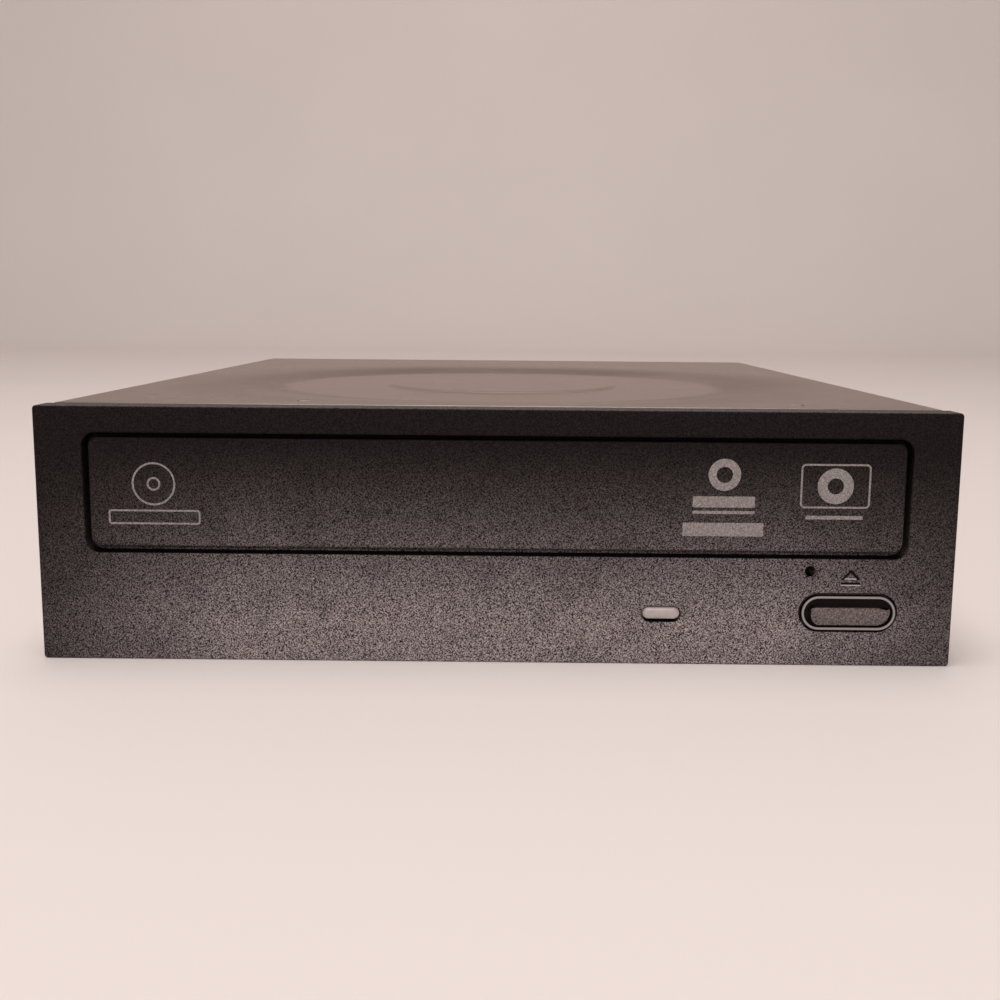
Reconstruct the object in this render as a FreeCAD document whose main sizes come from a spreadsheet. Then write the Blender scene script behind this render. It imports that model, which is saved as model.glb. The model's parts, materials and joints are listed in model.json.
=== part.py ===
import FreeCAD, Part
import math
import os
from types import SimpleNamespace

import Sketcher

# An internal disc drive of the half-height 5.25 inch size, in millimetres.
# +X is to the right seen from the front, +Y runs into the drive and +Z is up.
# The origin is the middle of the four mounting holes in the underside.

SIZES = {
    "case_width": 146.0,
    "case_depth": 170.0,
    "case_height": 41.3,
    "case_wall": 0.8,
    "cover_wall": 0.6,
    "case_seam": 27.0,
    "case_gap": 0.4,
    "first_hole_row": 47.4,
    "hole_row_pitch": 79.24,
    "bottom_hole_span": 139.7,
    "side_hole_low": 10.0,
    "side_hole_rise": 11.84,
    "mount_hole_radius": 1.25,
    "mount_collar": 0.95,
    "case_screw_inset": 11.0,
    "case_screw_end": 12.0,
    "dish_radius": 63.0,
    "dish_floor_radius": 45.0,
    "dish_depth": 0.9,
    "boss_radius": 24.3,
    "boss_slope": 1.8,
    "boss_rise": 0.4,
    "lid_slot_width": 2.0,
    "hook_play": 0.3,
    "bezel_lip": 1.0,
    "bezel_top_inset": 0.1,
    "bezel_depth": 5.0,
    "bezel_drop": 0.3,
    "bezel_front_wall": 2.4,
    "bezel_rim": 1.8,
    "bezel_corner": 0.6,
    "opening_width": 132.7,
    "opening_low": 17.5,
    "opening_height": 19.4,
    "opening_corner": 2.2,
    "opening_round": 0.3,
    "sign_x": 57.3,
    "sign_half": 1.6,
    "sign_depth": 0.15,
    "collar_wall": 1.4,
    "door_side_gap": 0.85,
    "door_top_gap": 0.65,
    "door_low_gap": 1.05,
    "door_inset": 0.3,
    "door_seat_gap": 0.3,
    "door_wall": 2.5,
    "button_x": 57.1,
    "button_z": 8.6,
    "button_width": 15.3,
    "button_height": 5.7,
    "button_proud": 0.4,
    "button_gap": 0.33,
    "button_hole_round": 0.2,
    "lens_x": 26.8,
    "lens_z": 8.1,
    "lens_width": 6.4,
    "lens_height": 2.6,
    "pinhole_x": 50.7,
    "pinhole_z": 15.45,
    "pinhole_radius": 0.875,
    "spindle_back": 65.0,
    "disc_radius": 60.0,
    "small_disc_radius": 40.0,
    "disc_play": 0.5,
    "tray_side_gap": 1.85,
    "tray_throat_gap": 0.4,
    "tray_apron_rise": 2.0,
    "door_clip_rise": 0.9,
    "tray_depth": 160.0,
    "tray_top": 32.5,
    "tray_wall": 1.6,
    "disc_floor": 29.0,
    "small_disc_step": 1.0,
    "tray_slot_half": 19.0,
    "tray_slot_end": 136.0,
    "tray_skirt_low": 24.0,
    "slide_gap": 0.3,
    "frame_play": 1.0,
    "frame_wall": 2.4,
    "frame_rear_gap": 4.0,
    "deck_low": 2.4,
    "deck_wall": 1.4,
    "board_wall": 1.2,
    "bridge_wall": 1.0,
    "bridge_front": 52.0,
    "bridge_back": 78.0,
    "clamp_hole_radius": 14.5,
    "clamp_body_radius": 13.8,
    "gear_row": 17.0,
    "rack_inset": 7.5,
    "rack_module": 1.0,
    "rack_teeth": 20.0,
    "train_module": 0.6,
    "wheel_teeth": 50.0,
    "pinion_teeth": 12.0,
    "mesh_play": 0.12,
    "wheel_low": 11.8,
    "wheel_wall": 3.0,
    "pinion_low": 21.2,
    "pinion_wall": 4.2,
    "pulley_pinion_low": 11.5,
    "pulley_low": 16.9,
    "pulley_wall": 3.0,
    "pulley_flange": 0.4,
    "pulley_rim": 1.2,
    "pulley_radius": 10.6,
    "motor_pulley_radius": 2.0,
    "belt_gap": 0.3,
    "belt_wall": 1.2,
    "belt_height": 1.6,
    "motor_reach": 26.16,
    "motor_radius": 12.0,
    "motor_high": 15.7,
    "drop_angle": 4.56,
    "pivot_back": 148.0,
    "pivot_z": 18.0,
    "pivot_radius": 2.0,
    "pin_row": 38.0,
    "cam_front": 36.4,
    "cam_back": 40.1,
    "cam_wall_front": 40.4,
    "cam_wall_back": 42.0,
    "cam_wall_half": 51.0,
    "cam_pin_x": 30.0,
    "cam_pin_radius": 1.5,
    "cam_travel": 12.0,
    "cam_slot_half": 2.3,
    "shaft_play": 0.05,
    "holder_half": 49.0,
    "holder_front": 43.2,
    "holder_back": 151.5,
    "holder_rail": 6.0,
    "holder_low": 17.0,
    "holder_high": 22.5,
    "front_damper_row": 56.0,
    "rear_damper_row": 136.0,
    "plate_low": 23.2,
    "plate_wall": 1.2,
    "plate_half": 41.5,
    "rod_x": 27.0,
    "rod_z": 20.5,
    "rod_radius": 1.5,
    "rod_end": 143.0,
    "screw_x": 32.5,
    "screw_z": 16.0,
    "screw_radius": 1.5,
    "seat_z": 30.2,
    "turntable_radius": 15.0,
    "rotor_radius": 13.5,
    "spindle_radius": 1.5,
    "inner_lens_radius": 24.0,
    "pickup_half": 22.0,
    "main_board_front": 92.0,
    "main_board_z": 4.2,
    "main_board_wall": 1.6,
    "main_board_play": 4.4,
    "plug_left": 12.0,
    "plug_right": 54.0,
    "plug_high": 13.2,
    "data_left": 15.0,
    "data_right": 26.4,
    "power_left": 29.2,
    "power_right": 51.6,
    "contact_pitch": 1.27,
    "front_board_z": 4.4,
}


class Size:
    """A length that holds its value and the sheet expression that gives it."""

    def __init__(self, number, text):
        self.number = number
        self.text = text

    def __add__(self, other):
        other = size_of(other)
        return Size(self.number + other.number, f"({self.text} + {other.text})")

    def __sub__(self, other):
        other = size_of(other)
        return Size(self.number - other.number, f"({self.text} - {other.text})")

    def __mul__(self, other):
        other = size_of(other)
        return Size(self.number * other.number, f"({self.text} * {other.text})")

    def __truediv__(self, other):
        other = size_of(other)
        return Size(self.number / other.number, f"({self.text} / {other.text})")

    def __neg__(self):
        return Size(-self.number, f"(0 - {self.text})")

    def __radd__(self, other):
        return size_of(other) + self

    def __rsub__(self, other):
        return size_of(other) - self

    def __rmul__(self, other):
        return size_of(other) * self

    def __float__(self):
        return self.number


def size_of(value):
    """A plain number as a size."""
    return value if isinstance(value, Size) else Size(float(value), repr(float(value)))


def sine(angle):
    """The sine of an angle in degrees."""
    return Size(math.sin(math.radians(angle.number)), f"sin({angle.text})")


def write_sheet(document):
    """The spreadsheet of driving dimensions."""
    sheet = document.addObject("Spreadsheet::Sheet", "Sizes")
    for row, (name, number) in enumerate(SIZES.items(), start=1):
        sheet.set(f"A{row}", name)
        sheet.set(f"B{row}", str(number))
        sheet.setAlias(f"B{row}", name)
    document.recompute()
    return sheet


doc = FreeCAD.newDocument("disc_drive")
write_sheet(doc)
S = SimpleNamespace(**{name: Size(number, "Sizes." + name) for name, number in SIZES.items()})
Vector = FreeCAD.Vector
parts = []

# Places that several pieces share. The face is where the bezel's back meets the case.
face = -(S.first_hole_row + S.hole_row_pitch / 2)
rear = face + S.case_depth
front = face - S.bezel_depth
case_half = S.case_width / 2
inner_half = case_half - S.case_wall
spindle_y = face + S.spindle_back
pivot_y = face + S.pivot_back
cover_low = S.case_height - S.cover_wall
opening_high = S.opening_low + S.opening_height
door_face = front + S.door_inset
door_back = door_face + S.door_wall
bezel_half = case_half + S.bezel_lip
bezel_high = S.case_height - S.bezel_top_inset
bezel_hollow = front + S.bezel_front_wall
tray_half = S.opening_width / 2 - S.tray_side_gap
tray_apron_low = S.opening_low + S.tray_apron_rise
tray_low = S.disc_floor - S.tray_wall
tray_rear = face + S.tray_depth
recess_radius = S.disc_radius + S.disc_play
small_recess_radius = S.small_disc_radius + S.disc_play
skirt_inner = tray_half - S.tray_wall
frame_half = inner_half - S.frame_play
frame_rear = rear - S.frame_rear_gap
frame_inner = frame_half - S.frame_wall
frame_high = S.tray_top + S.slide_gap + 1.4
deck_high = S.deck_low + S.deck_wall
front_board_high = S.front_board_z + S.board_wall
main_board_high = S.main_board_z + S.main_board_wall
bridge_high = frame_high + S.bridge_wall
plate_high = S.plate_low + S.plate_wall
pickup_y = spindle_y + S.inner_lens_radius
rack_radius = S.rack_module * S.rack_teeth / 2
wheel_radius = S.train_module * S.wheel_teeth / 2
pinion_radius = S.train_module * S.pinion_teeth / 2
gear_y = face + S.gear_row
tray_post_radius = size_of(1.5)
pulley_post_radius = size_of(1.25)
rack_x = -(tray_half - S.rack_inset)
tray_gear_x = rack_x + rack_radius + S.mesh_play
pulley_gear_x = tray_gear_x + wheel_radius + pinion_radius + S.mesh_play
motor_x = pulley_gear_x + S.motor_reach
pin_drop = (S.pivot_back - S.pin_row) * sine(S.drop_angle)
case_screw_x = case_half - S.case_screw_inset
case_screw_rows = (face + S.case_screw_end, rear - S.case_screw_end)
wheel_high = S.wheel_low + S.wheel_wall
pinion_high = S.pinion_low + S.pinion_wall
pulley_high = S.pulley_low + S.pulley_wall
frame_front = face + 1
deck_back = face + S.cam_wall_back - 0.5
beam_front = pivot_y + 5
beam_low = size_of(14)
beam_high = beam_low + 2
hook_places = (-33, 50.5)
hook_levels = (10, 15)
case_screw_spots = [(sign * case_screw_x, y) for sign in (-1, 1) for y in case_screw_rows]
bridge_screw_x = frame_half - 3.2
bridge_screw_rows = (face + S.bridge_front + 3, face + S.bridge_back - 3)
bridge_screw_spots = [(sign * bridge_screw_x, y) for sign in (-1, 1) for y in bridge_screw_rows]


def box(name, x, y, z):
    """A block between the low and the high place on each axis."""
    block = doc.addObject("Part::Box", name)
    for side, place, (low, high) in zip(("Length", "Width", "Height"), "xyz", (x, y, z)):
        block.setExpression(side, size_of(high - low).text)
        block.setExpression("Placement.Base." + place, size_of(low).text)
    return block


AXIS_TURNS = {
    "x": FreeCAD.Rotation(Vector(0, 1, 0), 90),
    "y": FreeCAD.Rotation(Vector(1, 0, 0), -90),
    "z": FreeCAD.Rotation(),
}


def lay_along(piece, axis, centre, low):
    """Turns a round primitive to an axis and puts its low end in place."""
    piece.Placement = FreeCAD.Placement(Vector(), AXIS_TURNS[axis])
    places = dict(zip([word for word in "xyz" if word != axis], centre))
    places[axis] = low
    for word, place in places.items():
        piece.setExpression("Placement.Base." + word, size_of(place).text)
    return piece


def cylinder(name, axis, centre, radius, low, high):
    """A cylinder along an axis; centre holds its places on the other two."""
    piece = doc.addObject("Part::Cylinder", name)
    piece.setExpression("Radius", size_of(radius).text)
    piece.setExpression("Height", size_of(high - low).text)
    return lay_along(piece, axis, centre, low)


def cone(name, axis, centre, low_radius, high_radius, low, high):
    """A cone between two radii along an axis."""
    piece = doc.addObject("Part::Cone", name)
    piece.setExpression("Radius1", size_of(low_radius).text)
    piece.setExpression("Radius2", size_of(high_radius).text)
    piece.setExpression("Height", size_of(high - low).text)
    return lay_along(piece, axis, centre, low)


def fuse(name, *pieces):
    """Several pieces as one solid."""
    if len(pieces) == 1:
        return pieces[0]
    whole = doc.addObject("Part::MultiFuse", name)
    whole.Shapes = list(pieces)
    whole.Refine = True
    return whole


def cut(name, base, *tools):
    """The base with the tools taken out of it."""
    result = doc.addObject("Part::Cut", name)
    result.Base = base
    result.Tool = fuse(name + "_tools", *tools)
    return result


def group(name, *pieces):
    """Separate solids of one sub-part."""
    whole = doc.addObject("Part::Compound", name)
    whole.Links = list(pieces)
    return whole


def ring(name, axis, centre, outer, inner, low, high):
    """A round collar with a bore."""
    blank = cylinder(name + "_blank", axis, centre, outer, low, high)
    bore = cylinder(name + "_bore", axis, centre, inner, low, high)
    return cut(name, blank, bore)


def side(sign, low, high):
    """A low and a high place, on the right for +1 and on the left for -1."""
    return (size_of(low), size_of(high)) if sign > 0 else (-size_of(high), -size_of(low))


def keep(piece, label):
    """Names a finished sub-part."""
    piece.Label = label
    parts.append(piece)
    return piece


def keep_tilted(piece, label):
    """Names a sub-part of the lifting unit and lowers it about the rear pivot."""
    holder = group(label + "_lowered", piece)
    turn = f"rotation(vector(1; 0; 0); {S.drop_angle.text})"
    centre = f"vector(0; {pivot_y.text}; {S.pivot_z.text})"
    holder.setExpression("Placement", f"placement(vector(0; 0; 0); {turn}; {centre})")
    return keep(holder, label)


# Sketch outlines. Each returns a function that draws itself and ties its corners to the sheet.

def fix(sketch, kind, *place):
    """One dimension of a sketch, tied to its size."""
    *where, length = place
    length = size_of(length)
    index = sketch.addConstraint(Sketcher.Constraint(kind, *where, length.number))
    sketch.setExpression(f"Constraints[{index}]", length.text)


def polygon(*corners):
    """A closed outline of straight edges."""
    def draw(sketch):
        first = sketch.GeometryCount
        points = [Vector(float(x), float(y), 0) for x, y in corners]
        total = len(points)
        for start, end in zip(points, points[1:] + points[:1]):
            sketch.addGeometry(Part.LineSegment(start, end), False)
        for step in range(total):
            here, following = first + step, first + (step + 1) % total
            sketch.addConstraint(Sketcher.Constraint("Coincident", here, 2, following, 1))
        for step, (x, y) in enumerate(corners):
            fix(sketch, "DistanceX", -1, 1, first + step, 1, x)
            fix(sketch, "DistanceY", -1, 1, first + step, 1, y)
    return draw


def rectangle(left, right, low, high):
    """A rectangle between its four sides."""
    return polygon((left, low), (right, low), (right, high), (left, high))


def circle(x, y, radius):
    """A circle about a point."""
    def draw(sketch):
        centre = Vector(float(x), float(y), 0)
        index = sketch.addGeometry(Part.Circle(centre, Vector(0, 0, 1), float(radius)), False)
        fix(sketch, "DistanceX", -1, 1, index, 3, x)
        fix(sketch, "DistanceY", -1, 1, index, 3, y)
        fix(sketch, "Radius", index, radius)
    return draw


def rounded(left, right, low, high, radius):
    """A rectangle with four round corners."""
    def draw(sketch):
        first = sketch.GeometryCount
        x0, x1, y0, y1, r = (float(value) for value in (left, right, low, high, radius))
        ends = [((x0 + r, y0), (x1 - r, y0)), ((x1, y0 + r), (x1, y1 - r)),
                ((x1 - r, y1), (x0 + r, y1)), ((x0, y1 - r), (x0, y0 + r))]
        for start, end in ends:
            sketch.addGeometry(Part.LineSegment(Vector(*start, 0), Vector(*end, 0)), False)
        centres = [(x1 - r, y0 + r), (x1 - r, y1 - r), (x0 + r, y1 - r), (x0 + r, y0 + r)]
        for step, centre in enumerate(centres):
            arc = Part.Circle(Vector(*centre, 0), Vector(0, 0, 1), r)
            start = math.radians(90 * step - 90)
            sketch.addGeometry(Part.ArcOfCircle(arc, start, start + math.pi / 2), False)
        for step in range(4):
            line, bend, following = first + step, first + 4 + step, first + (step + 1) % 4
            sketch.addConstraint(Sketcher.Constraint("Tangent", line, 2, bend, 1))
            sketch.addConstraint(Sketcher.Constraint("Tangent", bend, 2, following, 1))
            level = "Horizontal" if step % 2 == 0 else "Vertical"
            sketch.addConstraint(Sketcher.Constraint(level, line))
        for step in range(1, 4):
            sketch.addConstraint(Sketcher.Constraint("Equal", first + 4, first + 4 + step))
        fix(sketch, "Radius", first + 4, radius)
        fix(sketch, "DistanceY", -1, 1, first, 1, low)
        fix(sketch, "DistanceX", -1, 1, first + 1, 1, right)
        fix(sketch, "DistanceY", -1, 1, first + 2, 1, high)
        fix(sketch, "DistanceX", -1, 1, first + 3, 1, left)
    return draw


def stadium(x, y, width, height):
    """An outline with straight top and bottom and half-round ends."""
    def draw(sketch):
        first = sketch.GeometryCount
        middle, level, r = float(x), float(y), float(height) / 2
        reach = float(width) / 2 - r
        for sign in (-1, 1):
            start = Vector(middle + sign * reach, level + sign * r, 0)
            end = Vector(middle - sign * reach, level + sign * r, 0)
            sketch.addGeometry(Part.LineSegment(start, end), False)
        for sign in (-1, 1):
            arc = Part.Circle(Vector(middle - sign * reach, level, 0), Vector(0, 0, 1), r)
            start = -math.pi / 2 if sign < 0 else math.pi / 2
            sketch.addGeometry(Part.ArcOfCircle(arc, start, start + math.pi), False)
        for line, bend, following in ((0, 2, 1), (1, 3, 0)):
            sketch.addConstraint(Sketcher.Constraint("Tangent", first + line, 2, first + bend, 1))
            sketch.addConstraint(Sketcher.Constraint("Tangent", first + bend, 2, first + following, 1))
        sketch.addConstraint(Sketcher.Constraint("Horizontal", first))
        fix(sketch, "Radius", first + 2, height / 2)
        fix(sketch, "DistanceY", -1, 1, first + 2, 3, y)
        fix(sketch, "DistanceX", -1, 1, first + 2, 3, x + width / 2 - height / 2)
        fix(sketch, "DistanceX", -1, 1, first + 3, 3, x - width / 2 + height / 2)
    return draw


def body(name):
    """An empty body to build a sub-part in."""
    return doc.addObject("PartDesign::Body", name)


def sketch_on(piece, plane, low, high, outlines):
    """A sketch on one of the body's planes; XZ looks along -Y, so it starts at the high place."""
    sketch = piece.newObject("Sketcher::SketchObject", "outline")
    origin = next(item for item in piece.Origin.OriginFeatures if item.Role == plane + "_Plane")
    sketch.AttachmentSupport = [(origin, "")]
    sketch.MapMode = "FlatFace"
    offset = -size_of(high) if plane == "XZ" else size_of(low)
    sketch.setExpression("AttachmentOffset.Base.z", offset.text)
    for draw in outlines:
        draw(sketch)
    return sketch


def add(piece, plane, low, high, *outlines):
    """Material between two places along the plane's normal."""
    sketch = sketch_on(piece, plane, low, high, outlines)
    pad = piece.newObject("PartDesign::Pad", "pad")
    pad.Profile = sketch
    pad.setExpression("Length", size_of(high - low).text)
    doc.recompute()
    return pad


def remove(piece, plane, low, high, *outlines):
    """Takes material away between two places along the plane's normal."""
    before = piece.Shape.Volume
    sketch = sketch_on(piece, plane, low, high, outlines)
    pocket = piece.newObject("PartDesign::Pocket", "pocket")
    pocket.Profile = sketch
    pocket.Reversed = True
    pocket.setExpression("Length", size_of(high - low).text)
    doc.recompute()
    if not piece.Shape.Volume < before:
        raise RuntimeError(f"{piece.Name}: {pocket.Name} cuts nothing")
    return pocket


def round_edges(piece, radius, chosen):
    """Rounds the edges of the body that the test picks."""
    tip = piece.Tip
    names = [f"Edge{index}" for index, edge in enumerate(tip.Shape.Edges, start=1) if chosen(edge)]
    if not names:
        raise RuntimeError(f"{piece.Name}: no edge to round")
    fillet = piece.newObject("PartDesign::Fillet", "fillet")
    fillet.Base = (tip, names)
    fillet.setExpression("Radius", size_of(radius).text)
    doc.recompute()
    return fillet


def lies_at(edge, axis, place):
    """True for an edge that lies in the plane at that place on the axis."""
    bounds = edge.BoundBox
    low, high = getattr(bounds, axis + "Min"), getattr(bounds, axis + "Max")
    return abs(low - float(place)) < 0.01 and abs(high - float(place)) < 0.01


def mouth_edges(x, z, width, height):
    """A test for the front face's edges round an opening of that centre and size."""
    def chosen(edge):
        bounds = edge.BoundBox
        across = max(abs(bounds.XMin - float(x)), abs(bounds.XMax - float(x)))
        along = max(abs(bounds.ZMin - float(z)), abs(bounds.ZMax - float(z)))
        inside = across < float(width) / 2 + 0.01 and along < float(height) / 2 + 0.01
        return lies_at(edge, "Y", front) and inside
    return chosen


# Case

def make_bottom_case():
    """The folded steel pan with its mounting holes."""
    case = body("bottom_case_body")
    start = face + S.case_gap
    add(case, "XY", 0, S.case_wall, rounded(-case_half, case_half, start, rear, 1))
    for sign in (-1, 1):
        x = side(sign, inner_half, case_half)
        add(case, "XY", 0, S.case_seam, rectangle(*x, start + 1, rear - 1))
    add(case, "XZ", rear - S.case_wall, rear,
        rectangle(-inner_half + 0.2, inner_half - 0.2, 0, cover_low - 0.2))
    wall, corner = S.case_wall, size_of(6)
    left, right, near, far = -50, 50, face + 44, pivot_y + 2
    add(case, "XY", wall, wall * 2, rounded(left, right, near, far, corner))
    remove(case, "XY", 0, wall, rounded(left + wall, right - wall, near + wall, far - wall, corner - wall))
    dimple, dimple_radius = S.deck_low - 0.2, size_of(5)
    add(case, "XY", wall, dimple, *[circle(x, y, dimple_radius) for x, y in case_screw_spots])
    remove(case, "XY", 0, dimple - wall, *[circle(x, y, dimple_radius - wall) for x, y in case_screw_spots])
    remove(case, "XY", 0, dimple, *[circle(x, y, 1.4) for x, y in case_screw_spots])
    cut_mount_holes(case)
    cut_rear_wall(case)
    return keep(case, "bottom_case")


def cut_mount_holes(case):
    """Threaded collars and holes for the bay's screws, in the floor and in both sides."""
    half_x, half_y = S.bottom_hole_span / 2, S.hole_row_pitch / 2
    outer = S.mount_hole_radius + S.mount_collar
    floor_spots = [(sign * half_x, row * half_y) for sign in (-1, 1) for row in (-1, 1)]
    add(case, "XY", S.case_wall, S.case_wall * 3, *[circle(x, y, outer) for x, y in floor_spots])
    remove(case, "XY", 0, S.case_wall * 3, *[circle(x, y, S.mount_hole_radius) for x, y in floor_spots])
    levels = (S.side_hole_low, S.side_hole_low + S.side_hole_rise)
    wall_spots = [(row * half_y, z) for row in (-1, 1) for z in levels]
    for sign in (-1, 1):
        collar = side(sign, inner_half - 0.8, inner_half)
        add(case, "YZ", *collar, *[circle(y, z, outer) for y, z in wall_spots])
        through = side(sign, inner_half - 0.8, case_half)
        remove(case, "YZ", *through, *[circle(y, z, S.mount_hole_radius) for y, z in wall_spots])


def cut_rear_wall(case):
    """The connector window and a row of vents in the back."""
    wall = (rear - S.case_wall, rear)
    play = 0.4
    remove(case, "XZ", *wall,
           rectangle(S.plug_left - play, S.plug_right + play, main_board_high - 0.2, S.plug_high + play))
    vents = [stadium(x, 24, 9, 2.4) for x in range(-58, 60, 14)]
    remove(case, "XZ", *wall, *vents)


def lid_stamping():
    """The lid's round dish with its raised middle, as a turned sheet with S-shaped slopes."""
    z_top, wall = float(S.case_height), float(S.cover_wall)
    floor, rise = z_top - float(S.dish_depth), float(S.boss_rise)
    slopes = [(0.0, floor + rise), (float(S.boss_radius - S.boss_slope / 2), floor + rise),
              (float(S.boss_radius + S.boss_slope / 2), floor), (float(S.dish_floor_radius), floor),
              (float(S.dish_radius), z_top)]
    top = stamped_line(slopes)
    under = stamped_line([(r, z - wall) for r, z in slopes])
    ends = [Part.LineSegment(Vector(r, 0, z - wall), Vector(r, 0, z)).toShape()
            for r, z in (slopes[0], slopes[-1])]
    outline = Part.Wire(Part.__sortEdges__(top + under + ends))
    turned = Part.Face(outline).revolve(Vector(), Vector(0, 0, 1), 360)
    return solid_feature("lid_stamping", turned, Vector(0, float(spindle_y), 0))


def stamped_line(points):
    """Flats joined by slopes of two equal arcs, which meet level at both ends."""
    edges = []
    for (r0, z0), (r1, z1) in zip(points, points[1:]):
        start, end = Vector(r0, 0, z0), Vector(r1, 0, z1)
        if abs(z1 - z0) < 1e-6:
            edges.append(Part.LineSegment(start, end).toShape())
            continue
        run, lift = r1 - r0, z1 - z0
        bend = (run * run + lift * lift) / (4 * abs(lift))
        middle = (start + end) / 2
        quarter = run / 4
        sag = (bend - math.sqrt(bend * bend - quarter * quarter)) * (1 if lift > 0 else -1)
        first_via = Vector(r0 + quarter, 0, z0 + sag)
        last_via = Vector(r1 - quarter, 0, z1 - sag)
        edges.append(Part.Arc(start, first_via, middle).toShape())
        edges.append(Part.Arc(middle, last_via, end).toShape())
    return edges


def solid_feature(name, shape, place=None):
    """A shape made from the sheet's values, put in place."""
    feature = doc.addObject("Part::Feature", name)
    feature.Shape = shape
    if place is not None:
        feature.Placement = FreeCAD.Placement(place, FreeCAD.Rotation())
    return feature


def make_top_cover():
    """The lid with its side skirts, stamped dish, bezel slots and inner tabs."""
    shell = body("cover_shell")
    start = face + S.case_gap
    skirt_low = S.case_seam + 0.3
    inner = case_half - S.cover_wall
    add(shell, "XZ", start, rear, polygon(
        (-case_half, skirt_low), (-inner, skirt_low), (-inner, cover_low), (inner, cover_low),
        (inner, skirt_low), (case_half, skirt_low), (case_half, S.case_height), (-case_half, S.case_height)))
    round_edges(shell, 1.1, lambda edge: edge.BoundBox.YLength > 100
                and abs(edge.BoundBox.XMax) > float(case_half) - 0.01
                and edge.BoundBox.ZMin > float(S.case_height) - 0.01
                and edge.BoundBox.XLength < 0.01)
    remove(shell, "XY", cover_low - 0.1, S.case_height + 0.1, circle(0, spindle_y, S.dish_radius))
    half = S.lid_slot_width / 2
    slots = [rectangle(x - half, x + half, face + 6, face + 8.4) for x in hook_places]
    remove(shell, "XY", cover_low, S.case_height, *slots)
    tabs = []
    tab_rows = (face + 22, face + 88, rear - 20)
    for number, (sign, y) in enumerate((sign, y) for sign in (-1, 1) for y in tab_rows):
        row = (y, y + 10)
        jog, tab = side(sign, inner_half - 0.7, inner + 0.1), side(sign, inner_half - 0.7, inner_half - 0.1)
        tabs.append(box(f"cover_jog_{number}", jog, row, (skirt_low, skirt_low + 1)))
        tabs.append(box(f"cover_tab_{number}", tab, row, (S.case_seam - 4, skirt_low + 1)))
    return keep(fuse("top_cover_whole", shell, lid_stamping(), *tabs), "top_cover")


# Front

def make_front_bezel():
    """The moulded front with the tray opening, lamp slot, button hole and snap hooks."""
    bezel = body("bezel_body")
    low = -S.bezel_drop
    add(bezel, "XZ", front, face, rounded(-bezel_half, bezel_half, low, bezel_high, S.bezel_corner))
    round_edges(bezel, 0.35, lambda edge: lies_at(edge, "Y", front))
    half_open = S.opening_width / 2
    shelf = S.opening_low - S.collar_wall
    reach = bezel_half - S.bezel_rim
    remove(bezel, "XZ", bezel_hollow, face, rectangle(-reach, reach, low + S.bezel_rim, shelf))
    for sign in (-1, 1):
        x = side(sign, half_open + S.collar_wall, reach)
        remove(bezel, "XZ", bezel_hollow, face, rectangle(*x, shelf, bezel_high - S.bezel_rim))
    cut_tray_opening(bezel, half_open)
    wide, tall = S.button_width + 2 * S.button_gap, S.button_height + 2 * S.button_gap
    for mouth in ((S.button_x, S.button_z, wide, tall), (S.lens_x, S.lens_z, S.lens_width, S.lens_height)):
        remove(bezel, "XZ", front, bezel_hollow, stadium(*mouth))
        round_edges(bezel, S.button_hole_round, mouth_edges(*mouth))
    add(bezel, "XZ", bezel_hollow, face, circle(S.pinhole_x, S.pinhole_z, S.pinhole_radius + 0.9))
    remove(bezel, "XZ", front, face, circle(S.pinhole_x, S.pinhole_z, S.pinhole_radius))
    engrave_eject_sign(bezel)
    add_bezel_hooks(bezel)
    return keep(bezel, "front_bezel")


def cut_tray_opening(bezel, half_open):
    """The door's opening, and behind the door a narrower throat that the tray runs through."""
    seat = door_back + S.door_seat_gap
    remove(bezel, "XZ", front, seat,
           rounded(-half_open, half_open, S.opening_low, opening_high, S.opening_corner))
    middle = S.opening_low + S.opening_height / 2
    round_edges(bezel, S.opening_round, mouth_edges(0, middle, S.opening_width, S.opening_height))
    throat = tray_half + S.tray_throat_gap
    low, high = tray_apron_low - S.tray_throat_gap, S.tray_top + S.door_clip_rise + S.tray_throat_gap
    remove(bezel, "XZ", seat, face, rounded(-throat, throat, low, high, 1))


def engrave_eject_sign(bezel):
    """The shallow triangle and bar above the button."""
    x, half = S.sign_x, S.sign_half
    triangle = polygon((x - half, 14.1), (x + half, 14.1), (x, 15.8))
    bar = rectangle(x - half, x + half, 13.05, 13.65)
    remove(bezel, "XZ", front, front + S.sign_depth, triangle, bar)


def add_bezel_hooks(bezel):
    """Two tongues under the lid, each with a barb in a slot of it, and one hook into each side of the pan."""
    shelf = cover_low - 0.15
    barb = S.lid_slot_width / 2 - S.hook_play
    for x in hook_places:
        add(bezel, "XZ", face, face + 8, rectangle(x - 2.7, x + 2.7, shelf - 1.4, shelf))
        add(bezel, "XZ", face + 6.3, face + 8, rectangle(x - barb, x + barb, shelf, shelf + 0.55))
    for sign in (-1, 1):
        x = side(sign, inner_half - 1.7, inner_half - 0.15)
        add(bezel, "XZ", bezel_hollow, face + 7, rectangle(*x, *hook_levels))


def make_lamp_lens():
    """The milky light guide of the busy lamp."""
    x, z = S.lens_x, S.lens_z
    guide = body("lamp_lens_body")
    seat = bezel_hollow + 0.8
    add(guide, "XZ", front + 0.1, bezel_hollow, stadium(x, z, S.lens_width - 0.2, S.lens_height - 0.2))
    add(guide, "XZ", bezel_hollow, seat, rounded(x - 4.3, x + 4.3, z - 2.3, z + 2.3, 1))
    add(guide, "XZ", seat, face + 3, rectangle(x - 1.8, x + 1.8, z - 1.3, z + 1.3))
    return keep(guide, "lamp_lens")


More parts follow.
